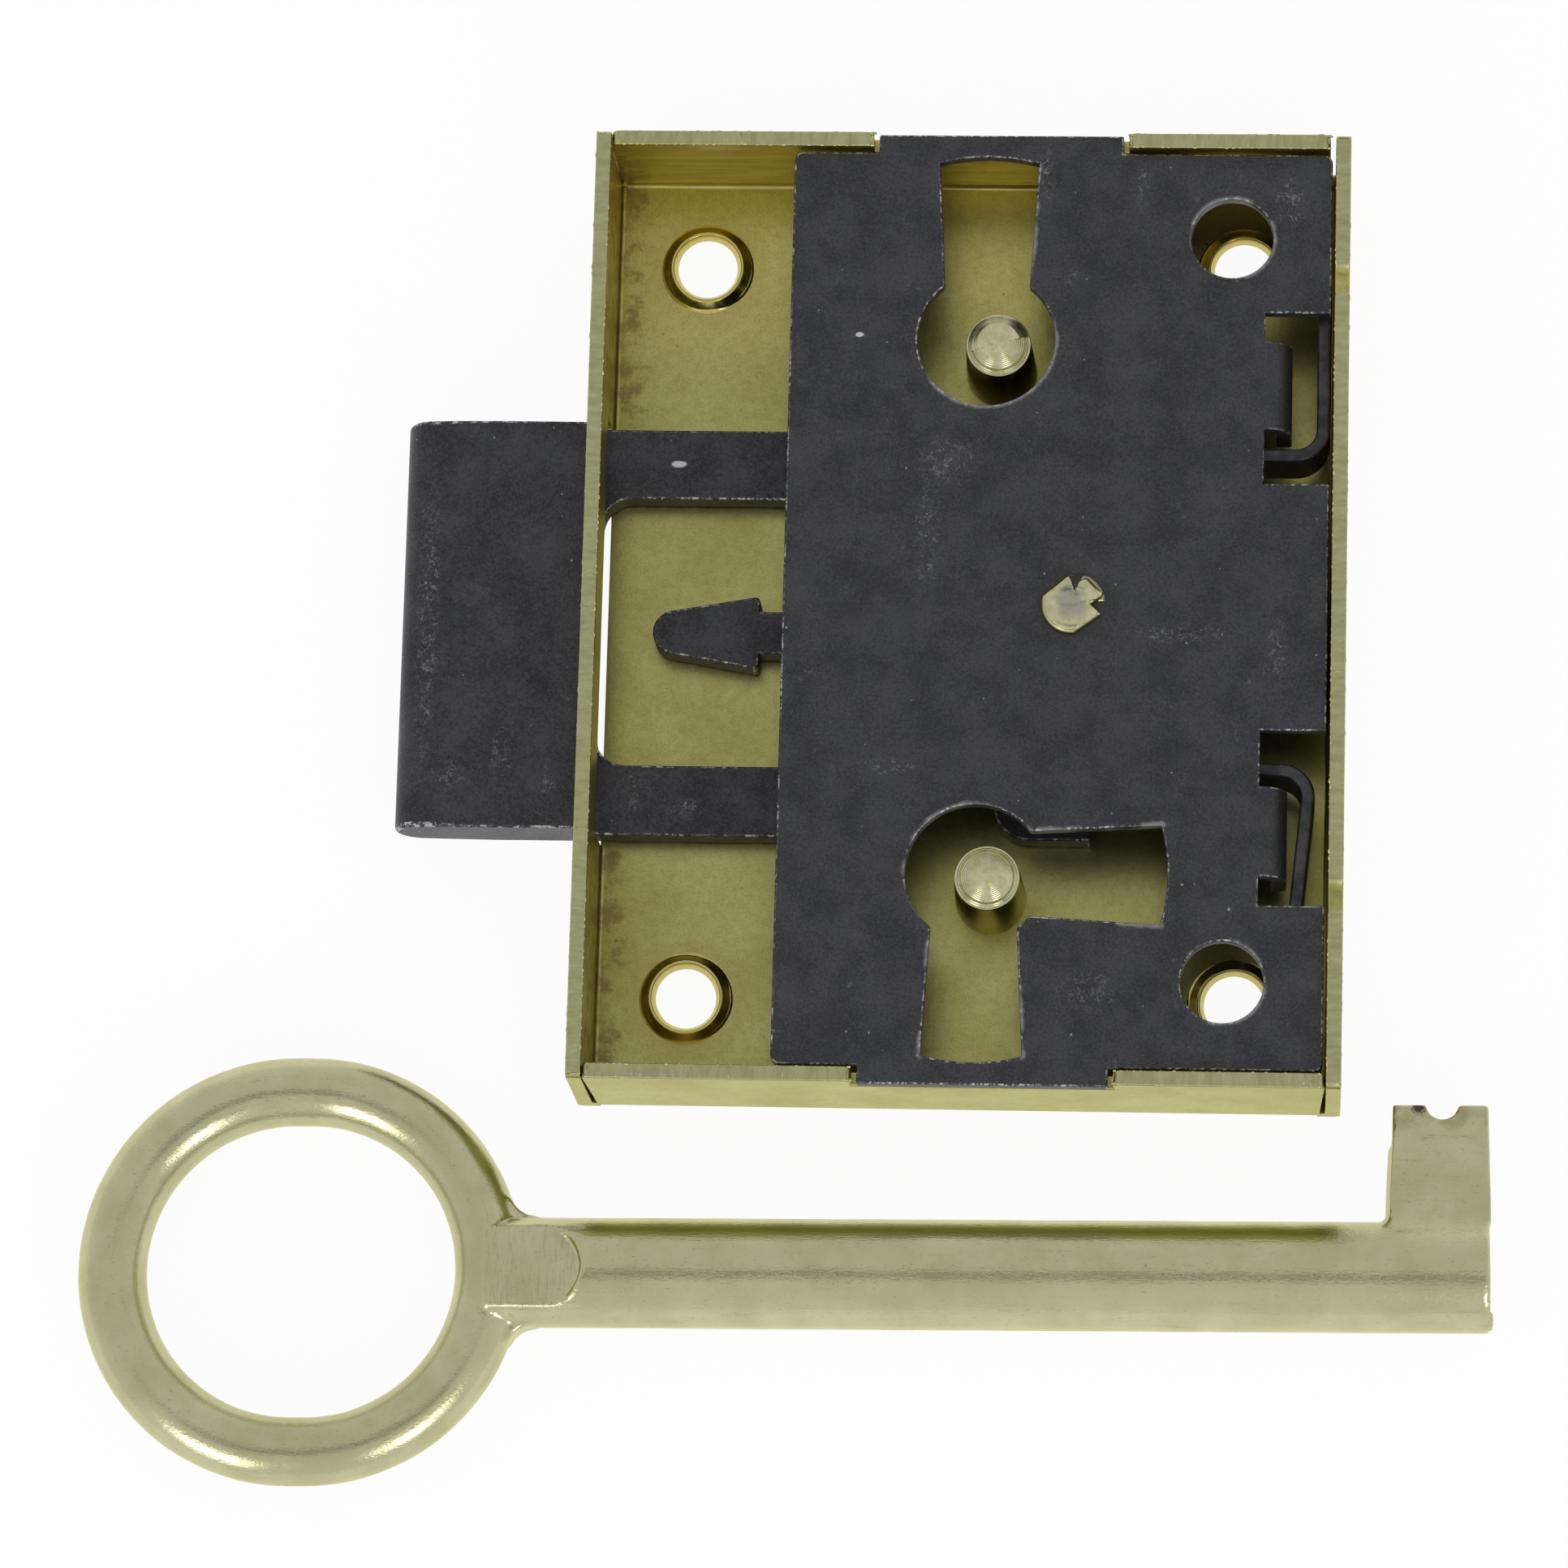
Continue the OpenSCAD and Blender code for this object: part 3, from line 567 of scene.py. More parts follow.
def black_oxide(name, dark, pale, gloss, scuff_spots, pale_spots, rings, slots):
    """Blued steel: grainy oxide, wandering scratches in scuffed spots, dust, and edges chipped by wear."""
    material, tree, shader, place = new_finish(name)
    mottle = cloud(tree, place, 0.33, 6.0, 0.62)
    grain = cloud(tree, place, 5.5, 3.0, 0.85)
    tone = plus(tree, times(tree, mottle, 0.4), times(tree, grain, 0.6))
    colour = blend(tree, between(tree, tone, 0.38, 0.62), dark, pale)
    tint = cloud(tree, turned(tree, place, 0.0, (1.0, 1.0, 1.0), (9.0, 4.0, 0.0)), 0.5, 3.0)
    colour = blend(tree, between(tree, tint, 0.55, 0.75, 0.0, 0.35), colour, (0.055, 0.050, 0.064, 1))
    colour = blend(tree, between(tree, tint, 0.45, 0.28, 0.0, 0.35), colour, (0.046, 0.055, 0.052, 1))

    scuffed = None
    for spot in scuff_spots:
        mask = between(tree, oval(tree, place, spot), 1.0, 0.3)
        scuffed = mask if scuffed is None else most(tree, scuffed, mask)
    patchy = between(tree, cloud(tree, place, 0.5, 4.0, 0.6, 0.6), 0.58, 0.74)
    show = most(tree, times(tree, patchy, 0.5), scuffed)
    lines = most(tree, squiggles(tree, place, 0.7, 0.016, (0.0, 0.0, 0.0)),
                 squiggles(tree, place, 1.2, 0.016, (7.0, 3.0, 0.0)))
    gaps = between(tree, cloud(tree, place, 2.4, 3.0, 0.7), 0.44, 0.60)
    marks = times(tree, times(tree, lines, gaps), times(tree, show, 0.32))
    grazes = cloud(tree, turned(tree, place, 20.0, (1.6, 0.6, 1.0)), 9.0, 4.0, 0.85)
    rubbed = between(tree, grazes, 0.56, 0.74)
    marks = most(tree, marks, times(tree, rubbed, times(tree, scuffed, 0.16)))
    flecks = times(tree, specks(tree, place, 2.4, 0.17, 0.4), scuffed)
    dust = most(tree, specks(tree, place, 1.3, 0.12, 0.22), specks(tree, place, 0.36, 0.055, 0.4))
    dust = most(tree, dust, flecks)
    marks = most(tree, marks, times(tree, dust, 0.55))

    wear = add(tree, "ShaderNodeAttribute", attribute_name="wear").outputs["Fac"]
    ragged = cloud(tree, place, 2.6, 4.0, 0.75)
    moved = turned(tree, place, 0.0, (1.0, 1.0, 1.0), (3.0, 8.0, 0.0))
    runs = between(tree, cloud(tree, moved, 0.21, 2.0), 0.40, 0.60)
    edges = None
    if rings:
        rims = times(tree, rubbed_rims(tree, place, rings, slots), runs)
        haze = between(tree, plus(tree, rims, times(tree, ragged, 0.9)), 0.80, 1.5)
        edges = times(tree, haze, 0.34)
    chips = between(tree, plus(tree, wear, times(tree, ragged, 0.6)), 1.28, 1.36)
    chips = times(tree, chips, between(tree, cloud(tree, place, 0.45, 2.0), 0.40, 0.55, 0.25, 1.0))
    chips = times(tree, chips, 0.8)
    for spot in pale_spots:
        worn = plus(tree, oval(tree, place, spot), times(tree, ragged, 0.8))
        chips = most(tree, chips, between(tree, worn, 1.4, 1.0, 0.0, 0.95))
    worn = chips if edges is None else most(tree, edges, chips)
    marks = calc(tree, "MAXIMUM", marks, worn, clamp=True)
    colour = blend(tree, marks, colour, (0.62, 0.62, 0.635, 1))
    roughness = between(tree, tone, 0.3, 0.7, gloss + 0.06, gloss - 0.06)
    height = minus(tree, times(tree, grain, 0.8), times(tree, marks, 0.3))
    wire(tree, shader, Base_Color=colour, Metallic=0.75, Roughness=roughness,
         Normal=bump(tree, height, 0.5, 0.03 * MM))
    return material


def hardened_strip():
    """Spring strip: smooth dark oxide with a soft gloss."""
    material, tree, shader, place = new_finish("hardened_strip")
    mottle = cloud(tree, place, 0.9, 5.0, 0.6)
    mottled = between(tree, mottle, 0.35, 0.7)
    colour = blend(tree, mottled, (0.030, 0.031, 0.036, 1), (0.075, 0.075, 0.082, 1))
    dust = specks(tree, place, 1.3, 0.12, 0.18)
    colour = tinted(tree, colour, (0.4, 0.4, 0.4, 1), dust, 0.6)
    roughness = between(tree, mottle, 0.3, 0.7, 0.36, 0.46)
    wire(tree, shader, Base_Color=colour, Metallic=0.7, Roughness=roughness,
         Normal=bump(tree, cloud(tree, place, 4.0, 3.0), 0.35, 0.03 * MM))
    return material


def turned_brass():
    """Turned pins and post: pale brass with tool marks, a browner band on the side of the post's head,
    painted shadow where the post meets the cover and painted shade on the shank.
    """
    material, tree, shader, place = new_finish("turned_brass")
    z = axes_of(tree, place)[2]
    patch = cloud(tree, place, 1.1, 4.0, 0.6)
    colour = blend(tree, between(tree, patch, 0.35, 0.7), (0.52, 0.50, 0.27, 1), (0.66, 0.65, 0.42, 1))
    # Painted shade: the shank darker and browner below 7.5 mm up, where the cover shades it.
    shank = between(tree, z, 7.5, 6.3)
    colour = tinted(tree, colour, (0.40, 0.31, 0.09, 1), shank, 0.8)
    # Browner between 9.25 and 9.6 mm up, on the side of the post's head.
    head_side_band = within(tree, z, (9.1, 9.25), (9.72, 9.60))
    colour = tinted(tree, colour, (0.20, 0.17, 0.07, 1), head_side_band, 0.6)
    # Painted shadow: near black in the ring where the post rises out of the cover's hole.
    painted_gap_shadow = within(tree, z, (8.9, 9.0), (9.37, 9.34))
    colour = tinted(tree, colour, (0.045, 0.045, 0.05, 1), painted_gap_shadow, 0.95)
    post_r = length(tree, around(tree, place, POST_AT.x / MM, POST_AT.y / MM))
    crushed = between(tree, plus(tree, post_r, patch), 1.95, 1.15)
    colour = tinted(tree, colour, (0.36, 0.36, 0.32, 1), crushed, 0.75)
    swirl = cloud(tree, turned(tree, place, 35.0, (0.7, 2.4, 1.0)), 1.0, 3.0, 0.6)
    swirl = times(tree, between(tree, swirl, 0.48, 0.7), crushed)
    colour = tinted(tree, colour, (0.19, 0.18, 0.13, 1), swirl, 0.45)
    tool_marks = cloud(tree, turned(tree, place, 0.0, (0.4, 0.4, 7.0)), 1.0, 2.0)
    nicks = between(tree, cloud(tree, place, 2.6, 4.0, 0.75), 0.58, 0.72)
    colour = tinted(tree, colour, (0.24, 0.21, 0.10, 1), nicks, 0.5)
    height = plus(tree, tool_marks, times(tree, patch, 0.5))
    roughness = between(tree, patch, 0.3, 0.7, 0.16, 0.26)
    roughness = plus(tree, roughness, times(tree, painted_gap_shadow, 0.25))
    bare_metal(tree, shader, colour, roughness, 0.75, bump(tree, height, 0.3, 0.03 * MM))
    return material


def cast_brass():
    """Key: pale plated casting, gritty, drawn along the barrel and round the bow, stained at its tip."""
    material, tree, shader, place = new_finish("cast_brass")
    x, y, z = axes_of(tree, place)
    patch = cloud(tree, place, 0.28, 5.0, 0.6)
    grit = cloud(tree, place, 5.5, 3.0, 0.75)
    rasp = cloud(tree, turned(tree, place, 0.0, (2.4, 8.0, 8.0)), 1.0, 2.0, 0.6)
    drawn = cloud(tree, turned(tree, place, 0.0, (0.22, 2.6, 2.6)), 1.0, 4.0, 0.65)
    bow_at = key_place(*BOW_AT) / MM
    local = around(tree, place, bow_at.x, bow_at.y)
    bow_x, bow_y = axes_of(tree, local)[:2]
    radius = length(tree, local)
    round_bow = times(tree, calc(tree, "ARCTAN2", bow_y, bow_x), 2.4)
    ring = add(tree, "ShaderNodeCombineXYZ", {
        "X": round_bow, "Y": times(tree, radius, 2.2), "Z": times(tree, z, 2.2),
    }).outputs[0]
    brushed = cloud(tree, ring, 1.0, 5.0, 0.7)
    on_bow = between(tree, radius, 15.2, 14.2)
    drawn = add(tree, "ShaderNodeMix", {0: on_bow, 2: drawn, 3: brushed}).outputs[0]
    colour = blend(tree, between(tree, patch, 0.3, 0.7), (0.485, 0.475, 0.28, 1), (0.565, 0.555, 0.35, 1))
    dull = between(tree, plus(tree, drawn, times(tree, grit, 0.6)), 0.88, 1.08)
    colour = tinted(tree, colour, (0.30, 0.30, 0.19, 1), dull, 0.4)
    sooty = between(tree, plus(tree, rasp, times(tree, grit, 0.5)), 0.92, 1.02)
    colour = tinted(tree, colour, (0.16, 0.15, 0.09, 1), sooty, 0.45)
    browned = between(tree, cloud(tree, place, 0.55, 3.0, 0.6), 0.42, 0.62)
    at_tip = times(tree, between(tree, y, -34.4, -32.8), browned)
    at_tip = times(tree, at_tip, between(tree, x, 27.0, 27.6))
    colour = tinted(tree, colour, (0.36, 0.29, 0.16, 1), at_tip, 0.75)
    stain_at = key_place(*STAIN_AT) / MM
    to_stain = add(tree, "ShaderNodeVectorMath", {0: place, 1: stain_at}, operation="DISTANCE")
    dark_patches = between(tree, plus(tree, to_stain.outputs["Value"], grit), 1.05, 0.75)
    colour = tinted(tree, colour, (0.04, 0.032, 0.035, 1), dark_patches, 0.9)
    roughness = between(tree, patch, 0.3, 0.7, 0.21, 0.16)
    roughness = plus(tree, roughness, times(tree, dull, 0.10))
    along = within(tree, x, (-31.0, -30.2), (-23.6, -24.0))
    flat = times(tree, along, within(tree, z, (5.98, 6.06), (6.24, 6.16)))
    milled = cloud(tree, turned(tree, place, 0.0, (5.5, 0.7, 1.0)), 1.0, 4.0, 0.7)
    ground = times(tree, between(tree, milled, 0.48, 0.66), flat)
    colour = tinted(tree, colour, (0.30, 0.29, 0.18, 1), ground, 0.36)
    height = plus(tree, times(tree, grit, 0.5), times(tree, drawn, 0.9))
    height = plus(tree, height, times(tree, rasp, 0.8))
    milling = times(tree, minus(tree, milled, 0.5), flat)
    height = plus(tree, height, times(tree, milling, 6.0))
    bare_metal(tree, shader, colour, roughness, 0.74, bump(tree, height, 0.45, 0.038 * MM))
    return material


# Scuffs and pale spots as (middle, half sizes, angle), and rims and slots of the cover, in mm
COVER_SCUFFS = (
    ((-1.3, 9.6), (2.6, 2.2), 20.0),
    ((-2.4, 4.6), (1.1, 5.2), -12.0),
    ((4.9, 29.2), (0.8, 2.2), 10.0),
    ((11.4, 28.4), (0.7, 2.6), 25.0),
    ((14.0, -1.9), (4.0, 0.9), 14.0),
    ((20.6, -3.0), (0.9, 3.0), 0.0),
    ((-4.8, -11.0), (2.6, 0.8), -25.0),
    ((8.6, -25.7), (2.6, 1.6), -30.0),
    ((21.0, 27.5), (1.6, 2.2), 40.0),
)
COVER_RINGS = (
    ((1.15, 18.0), 4.55), ((1.15, -18.0), 4.55), ((17.25, 25.0), 2.7), ((17.25, -25.0), 2.7),
)
COVER_SLOTS = (((1.15, 18.0), 0.0), ((1.15, -18.0), 180.0), ((1.15, -18.0), -90.0))
BOLT_SCUFFS = (
    ((-35.6, -0.5), (1.0, 15.0), 0.0),
    ((-30.4, -9.4), (1.2, 2.2), 10.0),
    ((-33.8, -11.0), (1.6, 1.2), 40.0),
    ((-27.2, -11.4), (0.8, 1.8), -10.0),
    ((-21.8, -11.4), (1.0, 1.9), 35.0),
    ((-18.3, -12.6), (1.6, 1.0), 35.0),
)
# A pale oval on the bolt's upper arm.
BOLT_PALE_SPOT = (((-19.4, 10.9), (0.62, 0.26), 5.0),)
COVER_BARE = (((-7.2, 18.2), (0.3, 0.2), 20.0),)

BRASS_SHEET = rolled_brass()
BURR_BRASS = bright_burr()
COVER_OXIDE = black_oxide(
    "cover_oxide", (0.036, 0.037, 0.042, 1), (0.073, 0.074, 0.080, 1), 0.46,
    COVER_SCUFFS, COVER_BARE, COVER_RINGS, COVER_SLOTS
)
BOLT_OXIDE = black_oxide(
    "bolt_oxide", (0.030, 0.030, 0.035, 1), (0.071, 0.071, 0.078, 1), 0.44, BOLT_SCUFFS, BOLT_PALE_SPOT, (), ()
)
SPRING_OXIDE = hardened_strip()
PIN_BRASS = turned_brass()
KEY_BRASS = cast_brass()


def settle(obj, material, body, slot, *nodes):
    """Gives a finished piece its finish and its body, and hides the nodes that it stands for. The slot is
    not used.
    """
    obj.data.materials.clear()
    obj.data.materials.append(material)
    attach(obj, body)
    if nodes:
        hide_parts(*nodes)
    return obj


# Sheet pieces

def set_flanges(bm):
    """Closes three of the case's four corners, as its folds do, and leaves the last one open."""
    for vert in bm.verts:
        x, y, z = vert.co
        at_end = abs(abs(x) - FLANGE_END) < LEAST_STEP and abs(y) > CASE_HIGH.y - FLANGE_IN
        if z > PLATE_TOP and at_end and (x < 0 or y < 0):
            vert.co.x = math.copysign(FLANGE_CLOSE, x)


def is_flange_corner(edge):
    """True for the short edges across the sheet at the upper corners of the flanges."""
    high = all(v.co.z > CASE_HIGH.z - LEAST_STEP and abs(v.co.y) > FLANGE_Y for v in edge.verts)
    return high and ACROSS_SHEET[0] < edge.calc_length() < ACROSS_SHEET[1]


def is_dimple_lip(edge):
    """True for the edges round a screw hole, at the top of its dimple."""
    for vert in edge.verts:
        out = Vector((abs(vert.co.x) - SCREW_AT[0], abs(vert.co.y) - SCREW_AT[1]))
        if out.length > DIMPLE_R or vert.co.z < DIMPLE_TOP - LEAST_STEP:
            return False
    return True


def flare_holes(bm):
    """Widens the screw holes towards the lips of their dimples, as the punch left them."""
    for vert in bm.verts:
        middle = Vector((math.copysign(SCREW_AT[0], vert.co.x), math.copysign(SCREW_AT[1], vert.co.y)))
        out = vert.co.xy - middle
        if out.length < HOLE_R and vert.co.z > DIMPLE_TOP - LEAST_STEP:
            vert.co.xy = middle + out.normalized() * FLARE_R


def off_bend_ends(edge):
    """False for the small edges where a bend ends at a corner or at the slot."""
    return not all(v.co.z < BEND_TOP and abs(v.co.x) > BEND_END for v in edge.verts)


def folded_case():
    """The case's solid with its corners closed, its holes flared and its edges broken."""
    bm = solid_of("case")
    set_flanges(bm)
    flare_holes(bm)
    break_edges(bm, FLANGE_CORNER, 5, is_flange_corner)
    break_edges(bm, DIMPLE_LIP, 5, is_dimple_lip)
    break_edges(bm, CASE_EDGE, chosen=off_bend_ends)
    case = level_normals(piece_from(bm, "folded_case"))
    return settle(case, BRASS_SHEET, "lock", "case_brass", "case")


def close_groove(bm):
    """Fills the fine groove along the sides of the bolt's head, which doesn't show from a step away."""
    for vert in bm.verts:
        if vert.co.x > GROOVE_END or not GROOVE_Z[0] < vert.co.z < GROOVE_Z[1]:
            continue
        for side in (BOLT_LOW.y, BOLT_HIGH.y):
            if abs(vert.co.y - side) < GROOVE_DEPTH:
                vert.co.y = side
    bmesh.ops.remove_doubles(bm, verts=bm.verts, dist=LEAST_STEP)
    bmesh.ops.dissolve_degenerate(bm, edges=bm.edges, dist=0.2 * LEAST_STEP)


def is_tongue_corner(edge):
    """True for the upright edges at the shoulders of the tongue in the bolt's window."""
    middle = (BOLT_LOW.y + BOLT_HIGH.y) / 2
    a, b = [v.co for v in edge.verts]
    upright = (a - b).xy.length < LEAST_STEP
    off = abs(a.y - middle)
    return upright and TONGUE_HALF[0] < off < TONGUE_HALF[1] and TONGUE_X[0] < a.x < TONGUE_X[1]


def is_nose_end(edge):
    """True for the edges at the end of the bolt's head."""
    return all(v.co.x < NOSE_END for v in edge.verts)


def blued_bolt():
    """The bolt's solid with its groove closed and its edges broken and marked for wear."""
    bm = solid_of("bolt")
    close_groove(bm)
    break_edges(bm, TONGUE_ROUND, 6, is_tongue_corner)
    break_edges(bm, NOSE_EDGE, 4, is_nose_end)
    break_edges(bm, BOLT_EDGE, chosen=lambda edge: not is_nose_end(edge))
    mark_wear(bm)
    bolt = level_normals(piece_from(bm, "blued_bolt"))
    return settle(bolt, BOLT_OXIDE, "bolt", "blued_steel", "bolt")


def blued_cover():
    """The cover's solid with its edges broken and marked for wear."""
    bm = solid_of("cover_plate")
    break_edges(bm, COVER_EDGE)
    mark_wear(bm)
    cover = level_normals(piece_from(bm, "blued_cover"))
    return settle(cover, COVER_OXIDE, "lock", "blued_steel", "cover_plate")


def spring_strip(name, node):
    """A leaf spring's solid with its edges well rounded."""
    bm = solid_of(node)
    break_edges(bm, SPRING_EDGE)
    strip = level_normals(piece_from(bm, name))
    return settle(strip, SPRING_OXIDE, "lock", "spring_steel", node)


# Turned pieces

def pin_profile(foot_r, tip):
    """Riveted tail, tapered body, a narrow bevel and a dome with turned rings and a groove round it."""
    top_r = foot_r - PIN_TAPER
    dome_r = top_r - PIN_SHOULDER
    points = [(0, 0), (RIVET_R, 0), (RIVET_R, SHEET_T), (foot_r, SHEET_T)]
    points.append((top_r, tip - PIN_DOME - PIN_SHOULDER))
    points.append((top_r - PIN_SHOULDER * 0.3, tip - PIN_DOME - PIN_SHOULDER * 0.3))
    at, half, depth = PIN_GROOVE
    for step in range(RING_SAMPLES):
        share = 1 - step / RING_SAMPLES
        ring = RING_DEPTH * math.cos(2 * math.pi * dome_r * share / RING_PITCH)
        groove = depth * max(0.0, 1 - abs(share - at) / half)
        points.append((dome_r * share, tip - PIN_DOME * share ** 2 + ring - RING_DEPTH - groove))
    points.append((0, tip - RING_DEPTH))
    return points


def sawn_off(bm, centre, tip, top_r):
    """Leaves half of a pin's tip as a flat that stands over the rest, as it was parted from its bar."""
    dome_r = top_r - PIN_SHOULDER
    turn = math.radians(SAW_ANGLE)
    square = Vector((-math.sin(turn), math.cos(turn), 0))
    for shift in (0.0, SAW_WIDTH):
        everything = bm.verts[:] + bm.edges[:] + bm.faces[:]
        bmesh.ops.bisect_plane(bm, geom=everything, plane_co=centre + square * shift, plane_no=square)
    for vert in bm.verts:
        out = (vert.co - centre).dot(square)
        radius = (Vector((vert.co.x, vert.co.y, 0)) - centre).length
        share = radius / dome_r
        if vert.co.z < tip - PIN_DOME - DOME_SLACK or share > 1.001 or out < SAW_START:
            continue
        fall = max(0.0, (share - SAW_FLAT) / (1 - SAW_FLAT))
        vert.co.z = tip - SAW_STEP - (PIN_DOME - SAW_STEP) * fall
    bmesh.ops.remove_doubles(bm, verts=bm.verts, dist=PIN_WELD)


def turned_pin(name, node, sawn):
    """A key pin turned anew on its solid's axis."""
    low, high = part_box(node)
    centre = Vector(((low.x + high.x) / 2, (low.y + high.y) / 2, 0))
    foot_r = (high.x - low.x) / 2
    bm = lathe(pin_profile(foot_r, high.z), centre)
    if sawn:
        sawn_off(bm, centre, high.z, foot_r - PIN_TAPER)
    pin = piece_from(bm, name)
    pin.data.set_sharp_from_angle(angle=math.radians(SHARP_ANGLE))
    return settle(pin, PIN_BRASS, "lock", "turned_brass", node)


def reach_of(corners, way):
    """Distance from the middle to an outline, along a direction."""
    for a, b in zip(corners, corners[1:] + corners[:1]):
        side = b - a
        cross = way.x * side.y - way.y * side.x
        if abs(cross) < 1e-9:
            continue
        along = (a.x * way.y - a.y * way.x) / cross
        reach = (a.x * side.y - a.y * side.x) / cross
        if reach > 0 and 0 <= along <= 1:
            return reach
    return 0.0


def head_shape(way, radius, height):
    """The post's head: two chisel cuts in its outline, a bevelled rim and a tooth between the cuts."""
    if height < HEAD_FROM_Z:
        return way * radius + UP * height
    bevel = max(0.0, height - POST_RIM_Z)
    radius = min(radius, reach_of(POST_OUTLINE, way) - bevel)
    turn = math.degrees(math.atan2(way.y, way.x))
    if TOOTH_SPAN[0] < turn < TOOTH_SPAN[1] and radius > TOOTH_R:
        height += TOOTH_LIFT
    return way * radius + UP * height


def staked_post():
    """Post that was spread over the cover with a chisel."""
    foot_r = (POST_HIGH.x - POST_LOW.x) / 2
    under = COVER_HIGH.z - SHEET_T
    rings = [(0, 0), (RIVET_R, 0), (RIVET_R, SHEET_T), (foot_r, SHEET_T), (foot_r, under), (POST_R, under)]
    rings += [(POST_R, COVER_HIGH.z), (POST_R + POST_SMEAR, COVER_HIGH.z + SMEAR_T)]
    rings += [(radius * MM, POST_HIGH.z - drop * MM) for radius, drop in POST_RINGS]
    post = piece_from(lathe(rings, POST_AT, 180, head_shape), "staked_post")
    post.data.set_sharp_from_angle(angle=math.radians(POST_SHARP))
    return settle(post, PIN_BRASS, "lock", "turned_brass", "centre_post")


# Key

def add_bar(bm, section, x0, x1):
    """A bar along the key's barrel with a section in its (out, up) axes."""
    ends = [[bm.verts.new(key_place(x, y, z)) for y, z in section] for x in (x0, x1)]
    bm.faces.new(ends[0][::-1])
    bm.faces.new(ends[1])
    for at in range(len(section)):
        after = (at + 1) % len(section)
        bm.faces.new((ends[0][at], ends[0][after], ends[1][after], ends[1][at]))


def add_casting_marks(bm):
    """Fillets at the bit's foot, the parting line on its side and a bump of flash at the barrel's end."""
    add_bar(bm, BIT_FOOT, *BIT_SPAN)
    add_bar(bm, [(y, -z) for y, z in BIT_FOOT], *BIT_SPAN)
    add_bar(bm, PARTING, *PARTING_SPAN)
    bump_at = Matrix.Translation(key_place(*END_BUMP))
    bmesh.ops.create_uvsphere(bm, u_segments=16, v_segments=10, radius=END_BUMP_R, matrix=bump_at)
    bmesh.ops.recalc_face_normals(bm, faces=bm.faces)


def ramp(values, low, high):
    """Smooth step of an array of values."""
    share = np.clip((values - low) / (high - low), 0, 1)
    return share * share * (3 - 2 * share)


def bit_panel(places):
    """1 on the panel cast into the bit's face and 0 outside it."""
    waver = np.array([noise.noise(Vector(p) / PANEL_WAVER_L) for p in places]) * PANEL_WAVER
    x = places[:, 0] / MM + waver
    y = places[:, 1] / MM + waver
    inside = 1.0
    for values, (low, high) in ((x, PANEL_X), (y, PANEL_Y)):
        inside = inside * ramp(values, low, low + PANEL_EDGE) * ramp(values, high, high - PANEL_EDGE)
    return inside


def taper_bit(places):
    """Draws in the sides of the bit towards its tip, as they leave the mould."""
    x = places[:, 0] / MM
    y = places[:, 1] / MM
    foot, left, right = BIT_TAPER
    on_bit = ramp(x, *BIT_LEFT) * ramp(y, *BIT_ROOT)
    to_tip = ramp(y, *BIT_RISE)
    from_right = np.clip((BIT_RIGHT - x) / BIT_W, 0, 1)
    places[:, 0] += MM * on_bit * (from_right * (foot + left * to_tip) - (1 - from_right) * right * to_tip)


def set_back_end(places):
    """Draws the barrel's end face back a little, so that the bump of flash stands out from it."""
    x, y, z = places.T / MM
    flash = key_place(*END_BUMP) / MM
    away = ramp(np.hypot(y - flash.y, z - flash.z), *END_CLEAR)
    places[:, 0] -= END_BACK * MM * away * ramp(x, *END_X) * ramp(y, *END_Y)


def cast_key():
    """The key's solid, remeshed fine, with its edges softened and its skin left a little uneven."""
    bm = solid_of("key")
    add_casting_marks(bm)
    key = piece_from(bm, "cast_key")
    remesh = key.modifiers.new("fine mesh", "REMESH")
    remesh.mode = "VOXEL"
    remesh.voxel_size = KEY_VOXEL
    smooth = key.modifiers.new("soft edges", "SMOOTH")
    smooth.factor = 0.5
    smooth.iterations = KEY_SMOOTHING
    apply_modifiers(key)
    mesh = key.data
    places = np.zeros(len(mesh.vertices) * 3)
    mesh.vertices.foreach_get("co", places)
    normals = np.zeros(len(mesh.vertices) * 3)
    mesh.vertices.foreach_get("normal", normals)
    places = places.reshape(-1, 3)
    normals = normals.reshape(-1, 3)
    waves = np.array([noise.noise(Vector(p) / KEY_WAVE_L) for p in places])
    places += normals * (waves * KEY_WAVE - KEY_WAVE / 2)[:, None]
    up = normals[:, 2]
    places[:, 2] -= PANEL_DEPTH * MM * bit_panel(places) * np.sign(up) * (np.abs(up) > 0.7)
    taper_bit(places)
    set_back_end(places)
    mesh.vertices.foreach_set("co", places.ravel())
    for polygon in mesh.polygons:
        polygon.use_smooth = True
    return settle(key, KEY_BRASS, "key", "key_brass", "key")


# Burrs and shear marks on the case's cut rim

def rim_runs(inset):
    """Straight runs along the rim, as pairs of points, set in from the outer face."""
    x0, x1 = CASE_LOW.x + inset, CASE_HIGH.x - inset
    y0, y1 = CASE_LOW.y + inset, CASE_HIGH.y - inset
    z = CASE_HIGH.z
    runs = [((x0, CASE_LOW.y + RUN_END), (x0, CASE_HIGH.y - RUN_END))]
    stops = [CASE_LOW.y + RUN_END]
    for nick in sorted(NICKS):
        stops += [nick - NICK_HALF, nick + NICK_HALF]
    stops.append(CASE_HIGH.y - RUN_END)
    for low, high in zip(stops[::2], stops[1::2]):
        runs.append(((x1, low), (x1, high)))
    for y in (y0, y1):
        runs.append(((CASE_LOW.x + CORNER_GAP + RUN_GAP, y), (TAB_NOTCH[0] - RUN_GAP, y)))
        runs.append(((TAB_NOTCH[1] + RUN_GAP, y), (CASE_HIGH.x - CORNER_GAP - RUN_GAP, y)))
    return [(Vector((*a, z)), Vector((*b, z))) for a, b in runs]


def runs_object(name, runs, drop):
    """An object of loose edges, one for each run, set below the rim."""
    bm = bmesh.new()
    for a, b in runs:
        ends = [bm.verts.new(p - UP * drop) for p in (a, b)]
        bm.edges.new(ends)
    return piece_from(bm, name)


